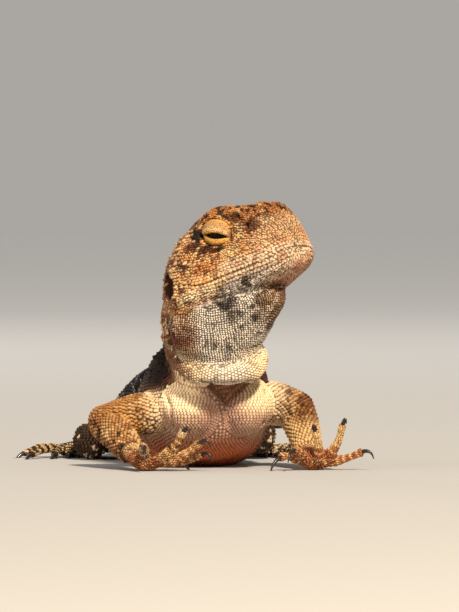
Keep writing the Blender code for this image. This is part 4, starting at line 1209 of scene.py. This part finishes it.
def spiny(spots):
    """True for some of the roots behind the eye and round the ear, where larger pointed scales stand."""
    ahead, aside, height = to_head(spots).T
    rear = (ahead < 6.5) & (height > -3.5) & (np.abs(aside) > 5.5)
    return rear & off_the_eye(spots) & (coat.random.random(len(spots)) < 0.4)


def spine_colour(points):
    """The head's colour, a little paler."""
    return over(head_colour(points), "bead", np.full(len(points), 0.3))


many = grow(face, "head", 0.95, by_place(spine_colour), "shield", SPINE, spiny, FAR, 0.2, flip=True)
print(many, "pointed scales behind the eyes")
skull = by_place(head_colour)
many = grow(face, "head", face_pitch, skull, "bead", FACE_BEAD, off_the_eye, FAR, 0.17, flip=True)
for name in ("lids_right", "lids_left"):
    many += grow(face, name, 0.40, skull, "bead", LID_BEAD, off_the_eye, 0.4)
print(many, "scales on the head")


# %% [markdown]
# ## Scales of the body
# The throat has fine beads, the collar and chest flat shields, and the back, limbs and tail keeled
# plates that lie towards the tail. One plate could be copied everywhere, but the change from region
# to region is a mark of the animal, so each form has a plate, a pitch and a size of its own.

# %% Throat, collar and body
THROAT_BEAD, COLLAR_SHIELD, CHEST_SHIELD = (0.84, 0.90, 0.40), (1.14, 1.18, 0.32), (1.20, 1.26, 0.28)
BACK_PLATE, LIMB_PLATE, TAIL_PLATE = (1.3, 1.0, 0.32), (1.18, 1.20, 0.32), (1.3, 1.0, 0.34)
NECK_END = 16
throat_coat, neck_coat, back_coat, limb_coat, tail_coat = [], [], [], [], []
many = grow(throat_coat, "throat", 0.46, by_place(throat_colour), "bead", THROAT_BEAD, off_the_eye, FAR, 0.10)
many += grow(neck_coat, "collar", 0.52, by_place(collar_colour), "shield", COLLAR_SHIELD, None, FAR, 0.05)
print(many, "scales on the throat and collar")


def body_pitch(points):
    """0.50 mm on the neck, more by 0.14 on the chest and belly and by 0.06 on the rump."""
    return 0.50 + 0.14 * step(24, 12, points[:, 2]) + 0.06 * step(10, 40, points[:, 1])


def before(spots):
    """True on the neck and chest."""
    return (spots[:, 1] < NECK_END) & off_the_eye(spots)


def behind(spots):
    """True on the trunk behind them, where the plates are keeled."""
    return spots[:, 1] >= NECK_END


def on_nape(spots):
    """True for some of the roots high on the far side of the neck, where larger scales stand."""
    x, y, z = spots.T
    return (y < NECK_END) & (z > 16) & (x < -5.5) & (coat.random.random(len(spots)) < 0.4)


def trunk_colour(points, back, _):
    """The body's colour in the form that grow calls."""
    return body_colour(points, back)


many = 0
for name in ("pectoral_right", "pectoral_left"):
    chest = by_place(body_colour, -1.0)
    many += grow(neck_coat, name, body_pitch, chest, "shield", CHEST_SHIELD, None, FAR, 0.03)
many += grow(neck_coat, "body", 1.0, trunk_colour, "shield", SPINE, on_nape, FAR, 0.2)
trunk = ("body", body_pitch, trunk_colour)
many += grow(neck_coat, *trunk, "shield", CHEST_SHIELD, before, FAR, 0.03, push=True)
many += grow(back_coat, *trunk, "keeled", BACK_PLATE, behind, FAR)
print(many, "scales on the neck, chest, back and belly")


# %% Limbs, digits and tail
def digit_colour(points, _, along):
    """The limb's colour with eight paler rings, which stand for the broad plates of a digit."""
    pale = step(0.1, 0.7, np.sin(2 * np.pi * 8 * along)) * step(0.12, 0.3, along)
    return over(limb_colour(points, 0 * along), "straw", pale * 0.65)


def tail_pitch(points):
    """0.80 mm at the root to 0.42 at the tip, by the length behind the hips."""
    return 0.80 - 0.38 * np.clip((points[:, 1] - 60) / 150, 0, 1)


many = 0
upper, under = by_place(limb_colour, 0.3), by_place(limb_colour, 0.0)
for side in ("right", "left"):
    for name in ("upper_arm_", "forearm_", "elbow_", "thigh_", "shank_", "knee_"):
        many += grow(limb_coat, name + side, 0.72, upper, "keeled", LIMB_PLATE, None, 0.5, 0.05)
    for name in ("palm_", "sole_"):
        many += grow(limb_coat, name + side, 0.52, under, "shield", reach=0.5)
    for place in range(5):
        for name in ("finger", "toe"):
            many += grow(limb_coat, f"{name}{place}_{side}", 0.50, digit_colour, "shield", reach=0.4)
print(many, "scales on the limbs")
many = grow(tail_coat, "tail", tail_pitch, tail_colour, "keeled", TAIL_PLATE, None, 0.6)
print(many, "scales on the tail")

# %% [markdown]
# ## Finishes
# Scales are dry horn: a satin surface. The shade in the seams between plates is painted: it could be found
# from the corners of the mesh by the renderer, but not every renderer can do that. So each point
# carries a fourth number beside its colour, 0 at a plate's sunk rim and 1 on its keel, and the
# shader darkens the colour by it as painted shade.

# %% Shader sums
class Wire:
    """A socket whose operators add Math nodes."""

    def __init__(self, tree, socket):
        self.tree, self.socket = tree, socket

    def sum(self, operation, other, turned=False):
        pair = (other, self) if turned else (self, other)
        made = node(self.tree, "ShaderNodeMath", {"operation": operation}, dict(enumerate(pair)))
        return Wire(self.tree, made.outputs[0])

    def __add__(self, other):
        return self.sum("ADD", other)

    def __sub__(self, other):
        return self.sum("SUBTRACT", other)

    def __rsub__(self, other):
        return self.sum("SUBTRACT", other, True)

    def __mul__(self, other):
        return self.sum("MULTIPLY", other)

    __radd__, __rmul__ = __add__, __mul__


def node(tree, kind, settings=None, values=None):
    """A node of a type: its settings first, then a value or a link for each socket."""
    made = tree.nodes.new(kind)
    for key, value in (settings or {}).items():
        setattr(made, key, value)
    for key, value in (values or {}).items():
        if isinstance(value, Wire):
            tree.links.new(value.socket, made.inputs[key])
        elif isinstance(value, bpy.types.NodeSocket):
            tree.links.new(value, made.inputs[key])
        else:
            made.inputs[key].default_value = value
    return made


GRAIN, RELIEF, SHEEN = 2600.0, 0.00004, 0.16


def new_finish(name, roughness, coat_weight=0.0):
    """A material with its node tree and its shader."""
    material = bpy.data.materials.new(name)
    material.use_nodes = True
    tree = material.node_tree
    shader = tree.nodes["Principled BSDF"]
    shader.inputs["Roughness"].default_value = roughness
    shader.inputs["Coat Weight"].default_value = coat_weight
    return material, tree, shader


def skin_finish(name, seam_shade, rough_low, rough_high):
    """The painted tint, with painted shade that darkens it towards each plate's sunk rim, and a fine grain in
    colour, gloss and relief.
    """
    material, tree, shader = new_finish(name, rough_low)
    tint = node(tree, "ShaderNodeAttribute", {"attribute_name": "tint", "attribute_type": "GEOMETRY"})
    where = node(tree, "ShaderNodeTexCoord").outputs["Object"]
    centred = node(tree, "ShaderNodeMapping", {}, {"Vector": where, "Scale": (1.0, 1.0, 1.0)})
    fine = {"Vector": centred.outputs[0], "Scale": GRAIN, "Detail": 2.0}
    grain = node(tree, "ShaderNodeTexNoise", {}, fine)
    height, speck = Wire(tree, tint.outputs["Alpha"]), Wire(tree, grain.outputs["Fac"])
    # Painted shade: the tint darkens from each plate's keel to its sunk rim.
    light = seam_shade + (1 - seam_shade) * height * height
    light = light * (0.86 + 0.28 * speck)
    darkened = {0: tint.outputs["Color"], "Scale": light}
    shaded = node(tree, "ShaderNodeVectorMath", {"operation": "SCALE"}, darkened)
    tree.links.new(shaded.outputs[0], shader.inputs["Base Color"])
    rough = rough_high - (rough_high - rough_low) * height
    tree.links.new((rough + 0.1 * speck).socket, shader.inputs["Roughness"])
    relief = node(tree, "ShaderNodeBump", {}, {"Strength": 0.25, "Distance": RELIEF, "Height": speck})
    tree.links.new(relief.outputs[0], shader.inputs["Normal"])
    shader.inputs["Specular IOR Level"].default_value = SHEEN
    return material


scale_finish = skin_finish("scales", 0.16, 0.46, 0.70)
throat_finish = skin_finish("throat scales", 0.05, 0.46, 0.70)
base_finish = skin_finish("bare skin", 0.16, 0.60, 0.75)
print("finishes:", [m.name for m in (scale_finish, throat_finish, base_finish)])

# %% Coat pieces
build_coat("face_scales", face, scale_finish)
build_coat("throat_scales", throat_coat, throat_finish)
build_coat("neck_scales", neck_coat, scale_finish)
build_coat("back_scales", back_coat, scale_finish)
build_coat("limb_scales", limb_coat, scale_finish)
build_coat("tail_scales", tail_coat, scale_finish)

# %% [markdown]
# ## Colour of the skin
# The skin shows in the seams between the scales. It could take the colour functions once more, but
# the scales' tints also stray one by one, and a seam looks right in the tint of its own scale. So a
# cloud of points holds the scales' colours, and a Data Transfer hands each point of the skin the
# nearest one.

# %% Skin colour
# The nostril's near-black is painted shade in its opening; the ear's brown is partly the drum's own colour
# and partly painted shade in its cup.
EAR_DRUM_AND_SHADE, NOSTRIL_SHADE = paint(120, 62, 38), paint(30, 16, 10)
places = to_head(points)
aside = np.abs(places[:, 1])
dark = (ear_share(places) < 0.95) & (aside > 6.0) & (aside < 12.5)
dark |= from_nostril(places) < 0.8
inside = np.tile(EAR_DRUM_AND_SHADE, (int(dark.sum()), 1))
inside[from_nostril(places[dark]) < 1.0] = NOSTRIL_SHADE
cloud_points = np.vstack([*ROOT_POINTS, points[dark]])
cloud_mesh = bpy.data.meshes.new("colour cloud")
cloud_mesh.vertices.add(len(cloud_points))
cloud_mesh.vertices.foreach_set("co", ((cloud_points + SHIFT) * MM).astype(np.float32).ravel())
x, y, z = cloud_points.T
on_throat = step(-4.0, -5.0, to_head(cloud_points)[:, 2]) * step(19.5, 20.5, z)
on_chest = step(16.0, 14.5, z) * step(9.0, 7.5, np.abs(x + 0.8)) * (y < 14)
# The fourth number sets the painted shade of the skin between the scales: deeper on the throat, lighter on
# the chest.
seam_shade = 0.30 - 0.20 * on_throat + 0.30 * on_chest
tint_points(cloud_mesh, np.vstack([*ROOT_COLOURS, inside]), seam_shade)
cloud = bpy.data.objects.new("colour cloud", cloud_mesh)
bpy.context.scene.collection.objects.link(cloud)
base.color_attributes.new("tint", "FLOAT_COLOR", "POINT")
hand_on = skin.modifiers.new("nearest colour", "DATA_TRANSFER")
hand_on.object = cloud
hand_on.use_vert_data = True
hand_on.data_types_verts = {"COLOR_VERTEX"}
hand_on.vert_mapping = "NEAREST"
graph = bpy.context.evaluated_depsgraph_get()
coloured = bpy.data.meshes.new_from_object(skin.evaluated_get(graph))
skin.modifiers.clear()
skin.data = coloured
bpy.data.objects.remove(cloud)
coloured.shade_smooth()
coloured.materials.clear()
coloured.materials.append(base_finish)
tones = np.empty(len(coloured.vertices) * 4, dtype=np.float32)
coloured.color_attributes["tint"].data.foreach_get("color", tones)
print("skin tint, mean:", np.round(tones.reshape(-1, 4).mean(axis=0), 3).tolist())
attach(skin, "root")
flesh = [name for name in frame["nodes"] if not name.startswith("eye_")]
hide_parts(*flesh)
print("the skin stands for", len(flesh), "solids")

# %% [markdown]
# ## Lids and eyes
# The lids are domes of skin over the eyeball that leave a narrow slit. The upper one is broad and
# pale; the lower one shows as a golden crescent. A ball with a slit cut in it could stand for them,
# but it has no rim to sink into the socket. So each is made from its edge outwards: share 0 is the
# slit, tucked against the eyeball, and share 1 is sunk in the socket's rim.

# %% Lids
SLIT_HALF, SLIT_UP, SLIT_DOWN = 2.48, 0.46, 0.62


def lid_ring(side, shares, turn):
    """q(s) = slit + (rim - slit) s on the eye's plane, lifted on to a dome of radius rho(s).

    rho = R - 0.10 + 0.34 step(0, 0.07, s) + (0.10 + 0.34 upper) sin(pi s^0.6) + 0.45 s2; the depth
    is sqrt(rho2 - |(stretch along, up)|2), and the rim is 1.06 of the almond.
    """
    cos, sin = np.cos(turn), np.sin(turn)
    upper = step(-0.25, 0.35, sin)
    slit = np.where(sin > 0, SLIT_UP, SLIT_DOWN) * np.sign(sin) * np.abs(sin) ** 2.0
    edge = np.stack([SLIT_HALF * cos, slit - SLIT_DROP], axis=-1)
    bow = np.where(sin > 0, LID_UP, LID_DOWN) * np.sign(sin) * np.abs(sin) ** 1.25
    reach = np.stack([LID_WIDE * cos, bow], axis=-1) * 1.06 + (LID_SHIFT, 0)
    share = shares[:, None, None]
    flat = edge[None] + (reach - edge)[None] * share
    bulge = (0.10 + 0.34 * upper) * np.sin(np.pi * share[..., 0] ** 0.6)
    radius = EYE_RADIUS - 0.10 + 0.34 * step(0.0, 0.07, share[..., 0]) + bulge + 0.45 * share[..., 0] ** 2
    deep = np.sqrt(np.maximum(radius**2 - ((flat * (LID_STRETCH, 1)) ** 2).sum(axis=-1), 0.2))
    places = EYE_PLACE + flat[..., :1] * EYE_ALONG + flat[..., 1:] * EYE_UP + deep[..., None] * EYE_OUT
    return from_head(places * (1, side, 1))


def lid_colour(shares, turn):
    """Golden at the edge; above, a buff dome under a golden line; below, gold, then black. The brown and
    black below, the brown outer rim above and the brown corners are painted shade where the lids sink into
    the socket.
    """
    share = shares[:, None] + 0 * turn[None]
    upper = step(-0.12, 0.12, np.sin(turn)[None] + 0 * share).ravel()
    flat = share.ravel()
    high = layered(
        ground("amber"),
        ("straw", step(0.08, 0.16, flat)),
        ("buff", step(0.22, 0.45, flat), 0.84),
        ("amber", step(0.66, 0.72, flat) * step(0.84, 0.79, flat) * 0.8),
        ("brown", step(0.82, 0.90, flat)),
    )
    low = layered(
        ground("amber"),
        ("straw", step(0.02, 0.10, flat) * step(0.30, 0.2, flat) * 0.4),
        ("brown", step(0.40, 0.50, flat) * 0.7),
        ("black", step(0.55, 0.70, flat) * 0.95),
    )
    # Painted shade at the slit's corners.
    corners = step(0.80, 0.97, np.abs(np.cos(turn))[None] + 0 * share).ravel() * step(0.12, 0.45, flat)
    return over(mixed(low, high, upper), "brown", corners * 0.9).reshape(*share.shape, 3)


LID_PITCH, LID_SCALE = 0.30, (1.0, 1.0, 0.28)
lids = []
shares = np.concatenate([np.linspace(0, 0.08, 6), np.linspace(0.11, 1.0, 26)])
turn = np.linspace(0, 2 * np.pi, 96, endpoint=False)
grid = np.arange(len(shares) * len(turn)).reshape(len(shares), -1)
after = np.roll(grid, -1, axis=1)
quads = np.stack([grid[:-1], after[:-1], after[1:], grid[1:]], axis=-1).reshape(-1, 4)
for name, side in EYE_SIDES.items():
    lid = make_mesh("lids_" + name, lid_ring(side, shares, turn).reshape(-1, 3), quads[:, ::side])
    tint_points(lid.data, lid_colour(shares, turn), 0.75)
    lid.data.materials.append(base_finish)
    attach(lid, "root")
    for place, share in enumerate(np.linspace(0.06, 0.95, 11)):
        ring = lid_ring(side, np.array((share,)), turn)[0]
        closed = np.vstack([ring, ring[:1]])
        lengths = lengths_along(closed)
        many = int(lengths[-1] / LID_PITCH)
        marks = (np.arange(many) + 0.5 * (place % 2)) / many * lengths[-1]
        spots = read_at(marks, lengths, closed.T)
        angle = np.interp(marks, lengths, np.linspace(0, 2 * np.pi, len(closed)))
        tints = lid_colour(np.array((share,)), angle)[0]
        tints = over(tints, "brown", (coat.random.random(many) < 0.22) * 0.6)
        shares_round = np.column_stack([marks / lengths[-1], np.full(many, share * 0.5 + 0.5 * (side > 0))])
        outward, normals = unit(spots - spots.mean(axis=0)), unit(spots - EYE_MIDDLES[name])
        where = on_tile(LID_TILE, shares_round)
        lay(lids, spots, outward, normals, np.full(many, LID_PITCH), tints, where, "bead", LID_SCALE)
build_coat("lid_scales", lids, scale_finish)

# %% Eyes
eye_material, tree, shader = new_finish("eye", 0.15)
shader.inputs["Specular IOR Level"].default_value = 0.10
shader.inputs["Base Color"].default_value = (*paint(10, 6, 5), 1)
for name, middle in EYE_MIDDLES.items():
    spots, quads = closed_rings(ball_rings(middle, EYE_RADIUS, 48))
    eye = make_mesh("eyeball_" + name, spots, quads)
    eye.data.materials.append(eye_material)
    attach(eye, "root")
    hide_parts("eye_" + name)
print("eyes", EYE_RADIUS * 2, "mm across")

# %% [markdown]
# ## Claws and crest
# Each digit ends in a dark, glossy claw that leaves along the toe and hooks down, and a low crest
# of pointed scales runs down the nape. Plain cones could do for both, but a tube along a bent path
# gives the hook of the one and the lean of the other.

# %% Claws
def claw_rings(root, direction):
    """Path: root + L (d sin(1.3 s) / 1.3 - 0.7 z s |s|), radius 0.4 (1 - 0.8 s^1.2)."""
    along = np.linspace(-0.25, 1, 16)[:, None]
    down = np.array((0.0, 0.0, -1.0))
    path = root + CLAW_LENGTH * (direction * np.sin(along * 1.3) / 1.3 + down * along * np.abs(along) * 0.7)
    return tube_rings(path, 0.40 * (1 - 0.80 * np.clip(along[:, 0], 0, 1) ** 1.2), 16)


claw_points, claw_faces = join_rings([claw_rings(root, direction) for root, direction in DIGIT_TIPS])
claw_points[:, 2] = np.maximum(claw_points[:, 2], 0.02)
claws = make_mesh("claws", claw_points, claw_faces)
claw_material, tree, shader = new_finish("claw horn", 0.32, 0.1)
shader.inputs["Base Color"].default_value = (*paint(34, 20, 14), 1)
claws.data.materials.append(claw_material)
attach(claws, "root")
print(len(DIGIT_TIPS), "claws")

# %% Crest
CREST_SPINES, CREST_HEIGHT = 11, 1.3
rows = smooth_rows(BODY_STATIONS, 36)
path, above = rows[:, :3], rows[:, 4]
_, _, up = path_frames(path, (0.0, 1.0, 1.0))
ridge = path + above[:, None] * up
radii = np.interp(np.linspace(0, 2, 14), (0, 1, 2), (0.8, 0.66, 0.08))
spines = []
for place, spot in enumerate(np.linspace(4.0, 18.0, CREST_SPINES)):
    first = int(spot)
    foot = ridge[first] * (1 - spot + first) + ridge[first + 1] * (spot - first)
    back = unit(ridge[first + 1] - ridge[first])
    height = CREST_HEIGHT * (0.75 + 0.25 * math.sin(place * 2.4)) * (1 - 0.4 * place / CREST_SPINES)
    knots = np.array((foot - 1.2 * up[first], foot, foot + height * up[first] + 0.7 * height * back))
    spines.append(tube_rings(smooth_rows(knots, 14), radii, 14, up_hint=(1.0, 0.0, 0.0)))
crest = make_mesh("crest", *join_rings(spines))
crest_points = read_points(crest.data)
tint_points(crest.data, over(ground("flank"), "fleck", patches(crest_points, 2.0, 14)), 0.8)
crest.data.materials.append(scale_finish)
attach(crest, "root")
print("crest of", CREST_SPINES)

# %% [markdown]
# ## Floor, light and camera
# The model stands on a plain floor, darker in front of it and as pale as the background far off. A
# picture of a sky could light it, but lamps can be set one by one: a small warm key comes from high
# in front, a little to the right, as the sun does in the photo, a soft fill from the left, and a
# weak rim light from behind. The camera looks almost level along the chest, from far enough off
# that the snout isn't swollen.

# %% Stage
FLOOR_RADIUS, TONE_START, TONE_END = 6.0, 0.5, 2.4
floor_mesh = bpy.data.meshes.new("floor")
turn = np.linspace(0, 2 * np.pi, 96, endpoint=False)
disc = [(FLOOR_RADIUS * math.cos(a), FLOOR_RADIUS * math.sin(a), 0.0) for a in turn]
floor_mesh.from_pydata(disc, [], [list(range(len(disc)))])
floor = bpy.data.objects.new("floor", floor_mesh)
bpy.context.scene.collection.objects.link(floor)
floor_material, tree, shader = new_finish("pale floor", 0.7)
where = node(tree, "ShaderNodeTexCoord").outputs["Object"]
centred = node(tree, "ShaderNodeMapping", {}, {"Vector": where, "Location": (0.0, 1.1, 0.0)})
away = node(tree, "ShaderNodeVectorMath", {"operation": "LENGTH"}, {0: centred.outputs[0]})
reach = {0: away.outputs["Value"], 1: TONE_START, 2: TONE_END}
spread = node(tree, "ShaderNodeMapRange", {"interpolation_type": "SMOOTHSTEP"}, reach)
# Painted shade: the floor is darker in front, where the lamps light it most, so that it meets the background
# evenly.
tones = {0: spread.outputs[0], 6: (0.35, 0.33, 0.31, 1), 7: (1, 1, 1, 1)}
tone = node(tree, "ShaderNodeMix", {"data_type": "RGBA"}, tones)
tree.links.new(tone.outputs[2], shader.inputs["Base Color"])
shader.inputs["Specular IOR Level"].default_value = 0.0
floor_mesh.materials.append(floor_material)

world = bpy.data.worlds.new("studio")
bpy.context.scene.world = world
world.use_nodes = True
world.node_tree.nodes["Background"].inputs["Color"].default_value = (0.80, 0.76, 0.71, 1)
world.node_tree.nodes["Background"].inputs["Strength"].default_value = 0.50


def area_light(name, place, aim, size, power, colour):
    """A round lamp turned to its aim, in metres and watts."""
    light = bpy.data.lights.new(name, "AREA")
    light.shape, light.size, light.energy, light.color = "DISK", size, power, colour
    lamp = bpy.data.objects.new(name, light)
    lamp.location = place
    lamp.rotation_euler = (Vector(aim) - Vector(place)).to_track_quat("-Z", "Y").to_euler()
    bpy.context.scene.collection.objects.link(lamp)


area_light("key", (0.26, -0.92, 0.70), (0, -0.08, 0.03), 0.12, 21.0, (1.0, 0.89, 0.72))
area_light("fill", (-0.9, -0.6, 0.35), (0, -0.06, 0.03), 0.8, 3.0, (0.90, 0.93, 1.0))
area_light("rim", (-0.45, 0.8, 0.6), (0, -0.04, 0.03), 0.4, 1.2, (1.0, 0.95, 0.88))

# %% Camera
PIXELS_TALL, PIXELS_A_MM = 612, 5.7
AWAY, RISE = 1.2, math.radians(1.0)
camera = bpy.data.cameras.new("camera")
eye_point = bpy.data.objects.new("camera", camera)
bpy.context.scene.collection.objects.link(eye_point)
aim = Vector(((0.79 + SHIFT[0]) * MM, (SHIFT[1] - 3) * MM, 28.77 * MM))
towards = Vector((0.0, -math.cos(RISE), math.sin(RISE)))
eye_point.location = aim + towards * AWAY
eye_point.rotation_euler = (-towards).to_track_quat("-Z", "Y").to_euler()
camera.sensor_fit = "VERTICAL"
camera.sensor_height = 36
camera.lens = 36 * AWAY / (PIXELS_TALL / PIXELS_A_MM * MM)
camera.clip_start = 0.01
bpy.context.scene.camera = eye_point
print("camera", round(camera.lens), "mm lens,", AWAY, "m away")

bpy.context.scene.view_settings.view_transform = "Standard"
